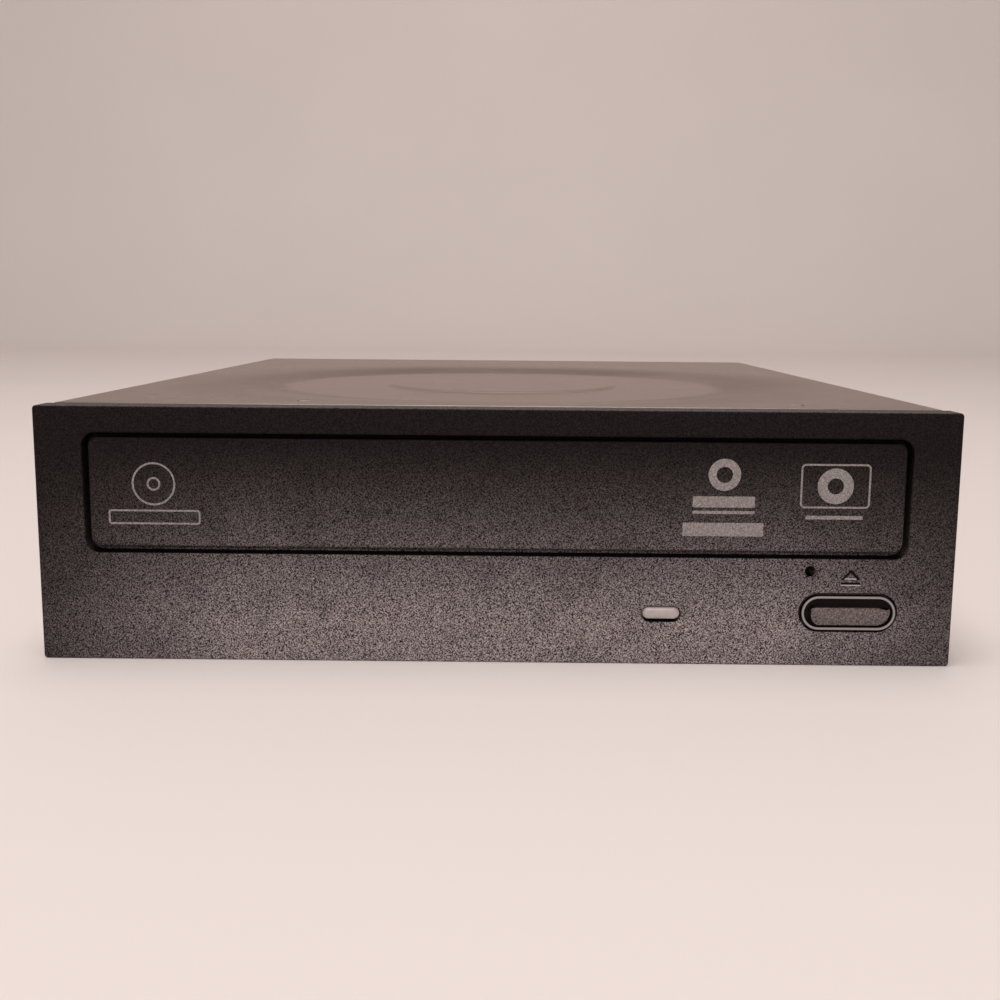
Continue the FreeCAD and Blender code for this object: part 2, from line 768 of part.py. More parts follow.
def make_eject_button():
    """The pressed button with a raised rim, a sloped hollow and its stem."""
    x, z = S.button_x, S.button_z
    tip = front - S.button_proud
    flange = bezel_hollow + 0.3
    button = body("eject_button_body")
    add(button, "XZ", tip, flange, stadium(x, z, S.button_width, S.button_height))
    add(button, "XZ", flange, flange + 0.9, stadium(x, z, S.button_width + 2, S.button_height + 1.6))
    remove(button, "XZ", tip, tip + 1.1, stadium(x, z - 0.15, S.button_width - 1.7, S.button_height - 1.7))
    add(button, "XZ", flange + 0.9, face + 1.9, rectangle(x - 2, x + 2, z - 1.5, z + 1.5))
    return keep(button, "eject_button")


def make_tray_door():
    """The door panel on the tray's front, with its clips."""
    half = S.opening_width / 2 - S.door_side_gap
    low, high = S.opening_low + S.door_low_gap, opening_high - S.door_top_gap
    door = body("door_body")
    add(door, "XZ", door_face, door_back, rounded(-half, half, low, high, 1.5))
    round_edges(door, 0.35, lambda edge: lies_at(edge, "Y", door_face))
    clip_reach, levels = tray_half - 11.5, (S.tray_top, S.tray_top + S.door_clip_rise)
    for x in (-clip_reach, -20, 20, clip_reach):
        add(door, "XZ", door_back, face + 0.9, rectangle(x - 3, x + 3, *levels))
    return keep(door, "tray_door")


# Tray

def make_disc_tray():
    """The sliding tray: skirts, two disc recesses, the pickup slot and the rack beneath."""
    tray = body("tray_body")
    step_low = S.disc_floor - S.small_disc_step - S.tray_wall
    slab_low = S.tray_top - S.tray_wall
    add(tray, "XY", tray_low, S.tray_top, rectangle(-tray_half, tray_half, face, tray_rear))
    remove(tray, "XY", tray_low, slab_low,
           rectangle(-skirt_inner, skirt_inner, face + S.tray_wall, tray_rear - S.tray_wall))
    for sign in (-1, 1):
        skirt = rectangle(*side(sign, skirt_inner, tray_half), face, tray_rear)
        add(tray, "XY", S.tray_skirt_low, tray_low, skirt)
    add(tray, "XZ", door_back, face + S.tray_wall,
        rectangle(-tray_half, tray_half, tray_low, S.tray_top))
    add(tray, "XZ", door_back, face, rectangle(-tray_half + 4, tray_half - 4, tray_apron_low, tray_low))
    add(tray, "XY", tray_low, slab_low, circle(0, spindle_y, recess_radius + S.tray_wall))
    channel = S.tray_slot_half + 1
    add(tray, "XY", tray_low, slab_low,
        rectangle(-channel - S.tray_wall, channel + S.tray_wall, spindle_y + 50, tray_rear))
    web = rack_x - 1.25 * S.rack_module
    add(tray, "XY", S.tray_skirt_low - 2.4, slab_low, rectangle(web - 2.2, web, face + 3, tray_rear))
    remove(tray, "XY", S.disc_floor, S.tray_top, circle(0, spindle_y, recess_radius))
    remove(tray, "XY", S.disc_floor, S.tray_top, rectangle(-channel, channel, spindle_y + 50, tray_rear))
    add(tray, "XY", step_low, tray_low, circle(0, spindle_y, small_recess_radius + S.tray_wall))
    small_floor = S.disc_floor - S.small_disc_step
    remove(tray, "XY", small_floor, S.disc_floor, circle(0, spindle_y, small_recess_radius))
    remove(tray, "XY", step_low, S.disc_floor, circle(0, spindle_y, S.tray_slot_half))
    remove(tray, "XY", step_low, S.disc_floor,
           rectangle(-S.tray_slot_half, S.tray_slot_half, spindle_y + 4, face + S.tray_slot_end))
    rack = solid_feature("tray_rack", rack_teeth_shape())
    return keep(fuse("tray_whole", tray, rack), "disc_tray")


def rack_teeth_shape():
    """A row of straight-sided teeth along Y, facing +X, in mesh with the tray gear."""
    module, pressure = float(S.rack_module), math.radians(20)
    pitch, root = module * math.pi, -1.25 * module
    line_x = float(rack_x)
    low, high = float(S.tray_skirt_low) - 2.4, float(S.tray_skirt_low) + 1.4
    half_pitch_width = pitch / 4 - 0.04
    widths = [(root - 0.2, half_pitch_width - (root - 0.2) * math.tan(pressure)),
              (module, half_pitch_width - module * math.tan(pressure))]
    teeth = []
    first = float(gear_y) - 4 * pitch
    count = int((float(tray_rear) - first) / pitch)
    for step in range(count):
        y = first + pitch * step
        (x0, w0), (x1, w1) = widths
        corners = [(line_x + x0, y - w0), (line_x + x1, y - w1), (line_x + x1, y + w1), (line_x + x0, y + w0)]
        points = [Vector(a, b, low) for a, b in corners]
        outline = Part.makePolygon(points + points[:1])
        teeth.append(Part.Face(outline).extrude(Vector(0, 0, high - low)))
    return Part.makeCompound(teeth)


# Gears

def involute_outline(module, teeth, turn):
    """A gear's outline: arcs for flanks, tips and roots, with a tooth centred on the turn angle."""
    pressure = math.radians(20)
    pitch_r = module * teeth / 2
    base_r = pitch_r * math.cos(pressure)
    tip_r, root_r = pitch_r + module, pitch_r - 1.25 * module
    half_tooth = math.pi / (2 * teeth) - 0.04 / pitch_r

    def flank_angle(radius):
        roll = math.acos(min(1.0, base_r / radius))
        return math.tan(roll) - roll

    start_r = max(base_r, root_r + 0.05)
    radii = [start_r, (start_r + tip_r) / 2, tip_r]
    offsets = [half_tooth + flank_angle(pitch_r) - flank_angle(r) for r in radii]

    def at(radius, angle):
        return Vector(radius * math.cos(angle), radius * math.sin(angle), 0)

    edges = []
    pitch_angle = 2 * math.pi / teeth
    for step in range(teeth):
        middle = turn + step * pitch_angle
        rise = [at(r, middle - offset) for r, offset in zip(radii, offsets)]
        fall = [at(r, middle + offset) for r, offset in zip(radii, offsets)]
        root_in, root_out = at(root_r, middle - offsets[0]), at(root_r, middle + offsets[0])
        following = middle + pitch_angle
        root_next = at(root_r, following - offsets[0])
        edges.append(Part.LineSegment(root_in, rise[0]).toShape())
        edges.append(Part.Arc(*rise).toShape())
        edges.append(Part.Arc(rise[-1], at(tip_r, middle), fall[-1]).toShape())
        edges.append(Part.Arc(*reversed(fall)).toShape())
        edges.append(Part.LineSegment(fall[0], root_out).toShape())
        edges.append(Part.Arc(root_out, at(root_r, middle + pitch_angle / 2), root_next).toShape())
    return Part.Wire(edges)


def gear_feature(name, module, teeth, turn, centre, low, high):
    """A toothed disc about a vertical axis."""
    outline = involute_outline(float(module), int(float(teeth)), turn)
    shape = Part.Face(outline).extrude(Vector(0, 0, float(high - low)))
    return solid_feature(name, shape, Vector(float(centre[0]), float(centre[1]), float(low)))


def make_tray_gear():
    """The two-step gear: its wheel takes the drive and its pinion moves the rack."""
    centre = (tray_gear_x, gear_y)
    tooth_turn = math.pi + math.pi / int(float(S.rack_teeth))
    wheel_ends, pinion_ends = (S.wheel_low, wheel_high), (S.pinion_low, pinion_high)
    wheel = gear_feature("tray_wheel", S.train_module, S.wheel_teeth, 0.0, centre, *wheel_ends)
    hub = cylinder("tray_gear_hub", "z", centre, 4, S.wheel_low, S.pinion_low)
    pinion = gear_feature("tray_pinion", S.rack_module, S.rack_teeth, tooth_turn, centre, *pinion_ends)
    bore_radius = tray_post_radius + S.shaft_play
    bore = cylinder("tray_gear_bore", "z", centre, bore_radius, S.wheel_low - 1, pinion_high + 1)
    return keep(cut("tray_gear_whole", fuse("tray_gear_steps", wheel, hub, pinion), bore), "tray_gear")


def belt_groove(name, centre, radius):
    """A drum for the belt between two thin flanges."""
    pieces = [cylinder(f"{name}_drum", "z", centre, radius, S.pulley_low, pulley_high)]
    rim = radius + S.pulley_rim
    for tag, low in (("low", S.pulley_low), ("high", pulley_high - S.pulley_flange)):
        pieces.append(cylinder(f"{name}_flange_{tag}", "z", centre, rim, low, low + S.pulley_flange))
    return pieces


def make_pulley_gear():
    """The belt pulley with its small pinion."""
    centre = (pulley_gear_x, gear_y)
    turn = math.pi + math.pi / int(float(S.pinion_teeth))
    low = S.pulley_pinion_low
    pinion = gear_feature("pulley_pinion", S.train_module, S.pinion_teeth, turn, centre, low, S.pulley_low)
    groove = belt_groove("pulley", centre, S.pulley_radius)
    bore_radius = pulley_post_radius + S.shaft_play
    bore = cylinder("pulley_gear_bore", "z", centre, bore_radius, low - 1, pulley_high + 1)
    return keep(cut("pulley_gear_whole", fuse("pulley_steps", pinion, *groove), bore), "pulley_gear")


def make_motor_pulley():
    """The small pulley on the loading motor's shaft."""
    centre = (motor_x, gear_y)
    shaft = cylinder("loading_shaft", "z", centre, 1, S.motor_high - 1.5, pulley_high + 0.7)
    groove = belt_groove("motor", centre, S.motor_pulley_radius)
    return keep(fuse("motor_pulley_whole", shaft, *groove), "motor_pulley")


def make_loading_motor():
    """The can motor that stands on the front board, with its shaft bearing."""
    centre = (motor_x, gear_y)
    can = cylinder("loading_can", "z", centre, S.motor_radius, front_board_high, S.motor_high)
    neck = cylinder("loading_neck", "z", centre, 3, S.motor_high, S.motor_high + 0.8)
    well = cylinder("loading_well", "z", centre, 1 + S.shaft_play, S.motor_high - 1.7, S.motor_high + 1)
    return keep(cut("loading_motor_whole", fuse("loading_motor_case", can, neck), well), "loading_motor")


def make_loading_belt():
    """The rubber belt round the two pulleys: two wraps and two straight runs."""
    large = float(S.pulley_radius + S.belt_gap)
    small = float(S.motor_pulley_radius + S.belt_gap)
    span = float(motor_x - pulley_gear_x)
    wall = float(S.belt_wall)
    outer = belt_face(large + wall, small + wall, span)
    inner = belt_face(large, small, span)
    height = float(S.belt_height)
    shape = outer.cut(inner).extrude(Vector(0, 0, height))
    level = float(S.pulley_low + S.pulley_wall / 2) - height / 2
    place = Vector(float(pulley_gear_x), float(gear_y), level)
    return keep(solid_feature("belt", shape, place), "loading_belt")


def belt_face(large, small, span):
    """The face inside a belt line about two circles."""
    lean = math.asin((large - small) / span)
    up = Vector(math.sin(lean), math.cos(lean), 0)
    down = Vector(up.x, -up.y, 0)
    far = Vector(span, 0, 0)
    edges = [
        Part.Arc(up * large, Vector(-large, 0, 0), down * large),
        Part.LineSegment(down * large, far + down * small),
        Part.Arc(far + down * small, far + Vector(small, 0, 0), far + up * small),
        Part.LineSegment(far + up * small, up * large),
    ]
    return Part.Face(Part.Wire([edge.toShape() for edge in edges]))


# Frame

def make_loader_frame():
    """The moulded frame that carries the tray, the gears and the lifting unit."""
    whole = fuse("frame_solids", *frame_sides(), *frame_floor(), *frame_posts())
    holes = frame_holes()
    return keep(cut("loader_frame_whole", whole, *holes), "loader_frame")


def frame_sides():
    """Side walls with the ledges, guides and hold-down ribs that the tray runs between."""
    pieces = []
    ledge = S.tray_skirt_low - S.slide_gap
    long_run = (frame_front, frame_rear)
    for sign in (-1, 1):
        tag = "right" if sign > 0 else "left"
        wall = side(sign, frame_inner, frame_half)
        pieces.append(box(f"wall_{tag}", wall, long_run, (7, frame_high)))
        pieces.append(box(f"wall_front_{tag}", wall, (frame_front, deck_back), (S.deck_low, 8)))
        shelf = side(sign, tray_half - 3.3, frame_inner)
        pieces.append(box(f"ledge_{tag}", shelf, long_run, (ledge - 2, ledge)))
        guide = side(sign, tray_half + S.slide_gap, tray_half + S.slide_gap + 1.4)
        pieces.append(box(f"guide_{tag}", guide, long_run, (ledge - 1, ledge + 2.2)))
        for low, high in ((4, 30), (96, 116)):
            rib, rows = side(sign, tray_half - 1.9, frame_inner), (face + low, face + high)
            pieces.append(box(f"holddown_{tag}_{low}", rib, rows, (frame_high - 1.4, frame_high)))
        for number, y in enumerate(bridge_screw_rows):
            boss = side(sign, frame_half - 6, frame_half)
            pieces.append(box(f"bridge_boss_{tag}_{number}", boss, (y - 3, y + 3), (26, frame_high)))
    return pieces


def frame_floor():
    """The front deck, the cam wall, the rear beam and its pivot blocks."""
    motor_left = motor_x - S.motor_radius
    cam_wall_rows = (face + S.cam_wall_front, face + S.cam_wall_back)
    beam_ends = (-frame_inner - 1, frame_inner + 1)
    pieces = [
        box("deck", (-frame_half, frame_half), (frame_front, deck_back), (S.deck_low, deck_high)),
        box("cam_wall", (-S.cam_wall_half, S.cam_wall_half), cam_wall_rows, (S.deck_low, 21.5)),
        box("rear_beam", beam_ends, (beam_front, frame_rear), (beam_low, beam_high)),
        box("rear_wall", beam_ends, (beam_front, beam_front + 2), (7, 20.8)),
        box("motor_stop", (motor_left - 1.6, motor_left - 0.3), (gear_y - 7, gear_y + 7), (S.deck_low, 14)),
    ]
    rib_rows, guide_back = (face + 4, face + 34), face + S.cam_front - 0.3
    for x in (-10, 20, 64):
        pieces.append(box(f"board_rib_{x}", (x - 1, x + 1), rib_rows, (S.deck_low, S.front_board_z)))
    for x in (-24, 33):
        rows = (guide_back - 1.1, guide_back)
        pieces.append(box(f"cam_guide_{x}", (x - 2, x + 2), rows, (S.deck_low, 9)))
    for sign in (-1, 1):
        block = side(sign, S.holder_half + 2.6, S.holder_half + 7.6)
        pieces.append(box(f"pivot_block_{sign}", block, (pivot_y - 3.5, beam_front + 0.5), (12, 21.2)))
    return pieces


def frame_posts():
    """Screw posts at the corners and the two gear posts."""
    pieces = []
    for number, spot in enumerate(case_screw_spots):
        high = 10 if number % 2 == 0 else beam_low + 0.5
        pieces.append(cylinder(f"screw_post_{number}", "z", spot, 3.4, S.deck_low, high))
    posts = (("tray", tray_gear_x, tray_post_radius, 3.2, S.wheel_low - 0.3, pinion_high - 1.4),
             ("pulley", pulley_gear_x, pulley_post_radius, 2.5, S.pulley_pinion_low - 0.3, pulley_high - 0.5))
    for name, x, radius, shoulder, seat, top in posts:
        pieces.append(cylinder(f"{name}_shoulder", "z", (x, gear_y), shoulder, S.deck_low, seat))
        pieces.append(cylinder(f"{name}_post", "z", (x, gear_y), radius, S.deck_low, top))
    return pieces


def frame_holes():
    """Bores for screws, pivots, the cam pins and the bay's mounting screws."""
    tools = []
    for number, spot in enumerate(case_screw_spots):
        tools.append(cylinder(f"post_bore_{number}", "z", spot, 1.35, 0, 9))
    pivot_bore, slot_rows = S.pivot_radius + S.shaft_play, (face + S.cam_back, face + S.cam_wall_back + 0.4)
    for sign in (-1, 1):
        pivot = side(sign, S.holder_half, S.holder_half + 6.6)
        tools.append(cylinder(f"pivot_bore_{sign}", "x", (pivot_y, S.pivot_z), pivot_bore, *pivot))
        slot_x = (sign * S.cam_pin_x - 1.9, sign * S.cam_pin_x + 1.9)
        slot_z = (S.pivot_z - pin_drop - 2.3, S.pivot_z + 2.2)
        tools.append(box(f"pin_slot_{sign}", slot_x, slot_rows, slot_z))
        for row in (-1, 1):
            for level in (S.side_hole_low, S.side_hole_low + S.side_hole_rise):
                name = f"bay_screw_{sign}_{row}_{int(float(level))}"
                depth = side(sign, frame_half - 5.2, frame_half + 0.1)
                tools.append(cylinder(name, "x", (row * S.hole_row_pitch / 2, level), 2.2, *depth))
        notch = (hook_levels[0] - 0.5, hook_levels[1] + 0.5)
        across = side(sign, inner_half - 2.1, inner_half)
        tools.append(box(f"hook_notch_{sign}", across, (face, face + 7.6), notch))
    for number, spot in enumerate(bridge_screw_spots):
        tools.append(cylinder(f"bridge_bore_{number}", "z", spot, 0.95, frame_high - 4.5, frame_high))
    return tools


def make_clamp_bridge():
    """The steel bridge over the disc, with the hole that the clamper hangs in."""
    bridge = body("bridge_body")
    half = frame_half - 0.5
    rows = (face + S.bridge_front, face + S.bridge_back)
    add(bridge, "XY", frame_high, bridge_high, rectangle(-half, half, *rows))
    add(bridge, "XY", frame_high, bridge_high, circle(0, spindle_y, S.clamp_hole_radius + 6.5))
    for y in (rows[0], rows[1] - 0.8):
        lips = [rectangle(*side(sign, 24, half - 10), y, y + 0.8) for sign in (-1, 1)]
        add(bridge, "XY", bridge_high, bridge_high + 1.4, *lips)
    remove(bridge, "XY", frame_high, bridge_high + 2, circle(0, spindle_y, S.clamp_hole_radius))
    remove(bridge, "XY", frame_high, bridge_high, *[circle(x, y, 1.2) for x, y in bridge_screw_spots])
    return keep(bridge, "clamp_bridge")


def screws(name, spots, shank_radius, head_radius, tip, head):
    """Identical screws along Z: a shank from the tip to the head and a head with a drive socket."""
    under, top = head
    up = tip.number < under.number
    shank_ends = (tip, under) if up else (under, tip)
    head_ends = (under, top) if up else (top, under)
    socket_ends = (top - 0.4, top) if up else (top, top + 0.4)
    pieces = []
    for number, spot in enumerate(spots):
        shank = cylinder(f"{name}_shank_{number}", "z", spot, shank_radius, *shank_ends)
        cap = cylinder(f"{name}_head_{number}", "z", spot, head_radius, *head_ends)
        socket = cylinder(f"{name}_drive_{number}", "z", spot, head_radius / 3, *socket_ends)
        pieces.append(cut(f"{name}_{number}", fuse(f"{name}_blank_{number}", shank, cap), socket))
    return group(name, *pieces)


def make_screws():
    """The case screws from below and the bridge screws from above."""
    seat = S.deck_low - 0.2 - S.case_wall
    low_set = screws("case_screw", case_screw_spots, 1.3, 2.7, size_of(8), (seat, size_of(0.1)))
    keep(low_set, "case_screws")
    head = (bridge_high, bridge_high + 0.9)
    keep(screws("bridge_screw", bridge_screw_spots, 0.9, 2, frame_high - 4, head), "bridge_screws")


# Clamper

def make_clamper():
    """The puck that grips the disc from above, with its magnet and steel cap."""
    centre = (0, spindle_y)
    hang = bridge_high + 0.3
    low = S.seat_z + 0.8
    neck = cylinder("clamper_neck", "z", centre, S.clamp_body_radius, low, hang)
    flange = cylinder("clamper_flange", "z", centre, 18, hang, hang + 1.7)
    well = cylinder("clamper_well", "z", centre, 8.4, low, low + 3.6)
    seat = cylinder("clamper_seat", "z", centre, 9, low + 4.2, hang + 1.7)
    keep(cut("clamper_body_whole", fuse("clamper_blank", neck, flange), well, seat), "clamper_body")
    keep(cylinder("clamper_disc", "z", centre, 8.9, low + 4.2, hang + 1.7), "clamper_magnet")
    keep(ring("clamper_cap", "z", centre, 11, 1.5, hang + 1.7, hang + 2.4), "clamper_yoke")


# Lifting unit

def make_traverse_holder():
    """The moulded lifting frame with its rear pivots and front cam pins."""
    half = S.holder_half
    start, end = face + S.holder_front, face + S.holder_back
    rail_back = start + S.holder_rail
    outer = box("holder_outer", (-half, half), (start, end), (S.holder_low, S.holder_high))
    window = box("holder_window", (-half + S.holder_rail, half - S.holder_rail), (rail_back, pivot_y - 4.5),
                 (S.holder_low - 1, S.holder_high + 1))
    pieces = [cut("holder_ring", outer, window)]
    pin_ends = (face + S.cam_front + 0.4, start + 0.8)
    for sign in (-1, 1):
        tag = "right" if sign > 0 else "left"
        pin_x = sign * S.cam_pin_x
        pieces.append(box(f"pin_boss_{tag}", (pin_x - 3, pin_x + 3), (start, rail_back), (15.5, 22)))
        pieces.append(cylinder(f"cam_pin_{tag}", "y", (pin_x, S.pivot_z), S.cam_pin_radius, *pin_ends))
        boss, pivot = side(sign, half - S.holder_rail, half), side(sign, half - 2, half + 6.3)
        pieces.append(box(f"pivot_boss_{tag}", boss, (pivot_y - 3.5, end), (15.2, 22)))
        pieces.append(cylinder(f"pivot_pin_{tag}", "x", (pivot_y, S.pivot_z), S.pivot_radius, *pivot))
    whole = fuse("holder_whole", *pieces)
    bores = [cylinder(f"damper_bore_{number}", "z", spot, 1.25, 14, 24)
             for number, spot in enumerate(damper_spots())]
    keep_tilted(cut("holder_bored", whole, *bores), "traverse_holder")


def damper_spots():
    """The four places where rubber dampers carry the plate."""
    x = S.holder_half - S.holder_rail / 2
    return [(sign * x, face + row) for sign in (-1, 1) for row in (S.front_damper_row, S.rear_damper_row)]


def make_traverse_plate():
    """The steel plate that holds the spindle motor and the guide rods."""
    plate = body("plate_body")
    half, ear = S.plate_half, S.holder_half + 0.5
    end = face + S.rod_end + 1
    add(plate, "XY", S.plate_low, plate_high, rectangle(-half, half, face + 47, end))
    for sign in (-1, 1):
        for row in (S.front_damper_row, S.rear_damper_row):
            lug = rectangle(*side(sign, half, ear), face + row - 4, face + row + 4)
            add(plate, "XY", S.plate_low, plate_high, lug)
    for sign in (-1, 1):
        add(plate, "XY", S.plate_low - 4, S.plate_low,
            rectangle(*side(sign, half - 0.8, half), face + 62, face + 130))
    hole = S.turntable_radius + 1.2
    remove(plate, "XY", S.plate_low, plate_high, circle(0, spindle_y, hole))
    remove(plate, "XY", S.plate_low, plate_high, rectangle(-hole, hole, spindle_y, face + 86))
    remove(plate, "XY", S.plate_low, plate_high, rectangle(-31, 31, face + 84, face + 140))
    remove(plate, "XY", S.plate_low, plate_high, *[circle(x, y, 2.4) for x, y in damper_spots()])
    keep_tilted(plate, "traverse_plate")


def make_dampers():
    """Rubber grommets and their screws."""
    grommets = []
    for number, (x, y) in enumerate(damper_spots()):
        low = cylinder(f"grommet_low_{number}", "z", (x, y), 3.4, S.holder_high, S.plate_low)
        neck = cylinder(f"grommet_neck_{number}", "z", (x, y), 2.4, S.plate_low, plate_high)
        high = cylinder(f"grommet_high_{number}", "z", (x, y), 3.4, plate_high, plate_high + 0.9)
        bore = cylinder(f"grommet_bore_{number}", "z", (x, y), 1.25, 22, 27)
        grommets.append(cut(f"grommet_{number}", fuse(f"grommet_blank_{number}", low, neck, high), bore))
    keep_tilted(group("grommets", *grommets), "damper_grommets")
    top = plate_high + 0.9
    tip = S.holder_low + 0.5
    keep_tilted(screws("damper_screw", damper_spots(), 1.2, 2.8, tip, (top, top + 0.9)), "damper_screws")


def make_guide_rods():
    """Two ground steel rods under the plate and the blocks that hold their ends."""
    end = face + S.rod_end
    blocks = []
    for sign, label, start in ((-1, "main_guide_rod", face + 77), (1, "side_guide_rod", face + 80.6)):
        x = sign * S.rod_x
        keep_tilted(cylinder(f"{label}_round", "y", (x, S.rod_z), S.rod_radius, start, end), label)
        for number, y in enumerate(((start + 0.1, start + 3.4), (end - 3, end - 0.1))):
            block = box(f"rod_block_{sign}_{number}", (x - 3, x + 3), y, (S.rod_z - 2.6, S.plate_low))
            hole = cylinder(f"rod_seat_{sign}_{number}", "y", (x, S.rod_z), S.rod_radius + 0.02, *y)
            blocks.append(cut(f"rod_clamp_{sign}_{number}", block, hole))
    keep_tilted(group("rod_blocks", *blocks), "rod_clamps")


def make_spindle_motor():
    """The flat motor: base, stator with bearing, then the turning turntable group."""
    centre = (0, spindle_y)
    disc = cylinder("base_disc", "z", centre, 15.4, 22, S.plate_low)
    ears = box("base_ears", (-22, 22), (face + 53, face + 70), (22, S.plate_low))
    well = cylinder("base_well", "z", centre, 4.1, 21, 24)
    keep_tilted(cut("spindle_base_whole", fuse("spindle_base_blank", disc, ears), well), "spindle_base")
    hub = cylinder("stator_hub", "z", centre, 4, 19, 28.1)
    collar = cylinder("stator_collar", "z", centre, 7, S.plate_low, 24)
    core = cylinder("stator_core", "z", centre, 11, 24.8, 27.4)
    slots = []
    for step in range(9):
        angle = math.radians(40 * step)
        spot = (8.2 * math.cos(angle), spindle_y + 8.2 * math.sin(angle))
        slots.append(cylinder(f"stator_slot_{step}", "z", spot, 1.3, 24.7, 27.5))
    bore = cylinder("stator_bore", "z", centre, S.spindle_radius + S.shaft_play, 19.6, 29)
    whole = fuse("stator_blank", hub, collar, core)
    keep_tilted(cut("stator_whole", whole, bore, *slots), "spindle_stator")


def make_turntable():
    """The rotor can with its platform, magnet ring, rubber mat, cone and shaft."""
    centre = (0, spindle_y)
    mat_low = S.seat_z - 0.5
    can = cylinder("rotor_can", "z", centre, S.rotor_radius, plate_high + 0.3, 28.8)
    platform = cylinder("platform", "z", centre, S.turntable_radius, 28.7, mat_low)
    hollow = cylinder("rotor_hollow", "z", centre, S.rotor_radius - 0.8, plate_high, 28.5)
    bore = cylinder("turntable_bore", "z", centre, S.spindle_radius, 28, 31)
    keep_tilted(cut("turntable_whole", fuse("turntable_blank", can, platform), hollow, bore), "turntable")
    keep_tilted(ring("magnet_ring", "z", centre, S.rotor_radius - 0.8, 11.6, 24.8, 28.4), "rotor_magnet")
    keep_tilted(ring("mat", "z", centre, S.turntable_radius - 0.2, 10.5, mat_low, S.seat_z), "turntable_mat")
    skirt = cylinder("cone_skirt", "z", centre, 7.4, mat_low, S.seat_z + 0.9)
    lead = cone("cone_lead", "z", centre, 7.4, 5.4, S.seat_z + 0.9, S.seat_z + 3)
    hole = cylinder("cone_bore", "z", centre, S.spindle_radius, 29, 34)
    keep_tilted(cut("cone_whole", fuse("cone_blank", skirt, lead), hole), "centring_cone")
    shaft = cylinder("spindle_round", "z", centre, S.spindle_radius, 19.9, S.seat_z + 2.6)
    keep_tilted(shaft, "spindle_shaft")


def make_sled_motor():
    """The stepper, its bracket and the lead screw that it turns."""
    centre = (S.screw_x, S.screw_z)
    can = cylinder("sled_can", "y", centre, 7, face + 63.6, face + 79.2)
    cap = cylinder("sled_cap", "y", centre, 5, face + 63, face + 63.6)
    keep_tilted(fuse("sled_motor_whole", can, cap), "sled_motor")
    tray_x = (S.rod_x + 3.4, S.screw_x + 7)
    rail = box("bracket_rail", tray_x, (face + 79.2, face + 143), (S.plate_low - 0.8, S.plate_low))
    top = S.plate_low - 0.1
    front_tab = box("bracket_front", (S.screw_x - 7, S.screw_x + 7), (face + 79.2, face + 80), (9.2, top))
    rear_tab = box("bracket_rear", (tray_x[0], 36), (face + 142.2, face + 143), (13, top))
    front_hole = cylinder("bracket_mouth", "y", centre, 1.8, face + 79, face + 80.2)
    rear_hole = cylinder("bracket_bearing", "y", centre, 0.8 + S.shaft_play, face + 142, face + 143.2)
    whole = fuse("bracket_blank", rail, front_tab, rear_tab)
    keep_tilted(cut("bracket_whole", whole, front_hole, rear_hole), "sled_bracket")
    pieces = [
        cylinder("screw_neck", "y", centre, 1.4, face + 79.3, face + 81),
        cylinder("screw_core", "y", centre, 1.15, face + 81, face + 141.9),
        cylinder("screw_tip", "y", centre, 0.8, face + 141.8, face + 142.9),
    ]
    for step in range(20):
        low = face + 81 + 3 * step
        pieces.append(cylinder(f"screw_land_{step}", "y", centre, S.screw_radius, low, low + 2.2))
    keep_tilted(fuse("lead_screw_whole", *pieces), "lead_screw")


def make_pickup():
    """The sled: housing with its bushes, cover, nut, laser cans and lens drive magnets."""
    y = pickup_y
    half = S.pickup_half
    housing = box("housing_block", (-half, half), (y - 8, y + 17), (14.5, 22.5))
    hollow = box("housing_hollow", (-half + 1.5, half - 1.5), (y - 6.5, y + 15.5), (14, 20.5))
    tower = box("housing_tower", (-11, 11), (y - 8, y + 10), (22.5, 23.5))
    pieces = [cut("housing_shell", housing, hollow), tower]
    for number, (low, high) in enumerate(((-8, -2), (9, 15))):
        rows = (y + low, y + high)
        pieces.append(cylinder(f"bush_{number}", "y", (-S.rod_x, S.rod_z), 2.5, *rows))
        levels = (S.rod_z - 1.8, S.rod_z + 1.8)
        pieces.append(box(f"bush_arm_{number}", (-S.rod_x + 1, -half + 0.5), rows, levels))
    for number, (low, high) in enumerate(((-3.7, -1.8), (1.8, 2.7))):
        levels = (S.rod_z + low, S.rod_z + high)
        pieces.append(box(f"jaw_{number}", (half - 0.5, S.rod_x + 3), (y + 1, y + 7), levels))
    pieces.append(box("jaw_web", (half - 0.5, half + 1.5), (y + 1, y + 7), (S.rod_z - 3.7, S.rod_z + 2.7)))
    bores = [cylinder("bush_bore", "y", (-S.rod_x, S.rod_z), S.rod_radius + S.shaft_play, y - 9, y + 18),
             box("light_well", (-5, 5), (y - 4.5, y + 6), (20, 24))]
    keep_tilted(cut("pickup_whole", fuse("pickup_blank", *pieces), *bores), "pickup_housing")
    make_pickup_cover(y)
    make_rack_nut(y)
    make_suspension(y)
    cans = [cylinder("laser_side", "x", (y + 4.5, 18), 2.8, -24.8, -half),
            cylinder("laser_back", "y", (8, 18), 2.8, y + 17, y + 18.4)]
    keep_tilted(group("laser_cans", *cans), "laser_diodes")
    magnets = [box(f"lens_magnet_{number}", (-4, 4), (y + low, y + high), (23.5, 27.6))
               for number, (low, high) in enumerate(((-7.1, -5.2), (6.7, 8.6)))]
    keep_tilted(group("magnets", *magnets), "lens_magnets")


def make_suspension(y):
    """The block and the four wires that carry the lens holder."""
    pieces = [box("suspension_block", (-10.3, -8.3), (y - 4.4, y + 5.9), (23.5, 27.6))]
    for number, (row, level) in enumerate((row, level) for row in (-3.9, 5.4) for level in (25.6, 26.8)):
        pieces.append(cylinder(f"suspension_wire_{number}", "x", (y + row, level), 0.1, -8.5, 3))
    keep_tilted(fuse("suspension_whole", *pieces), "lens_suspension")


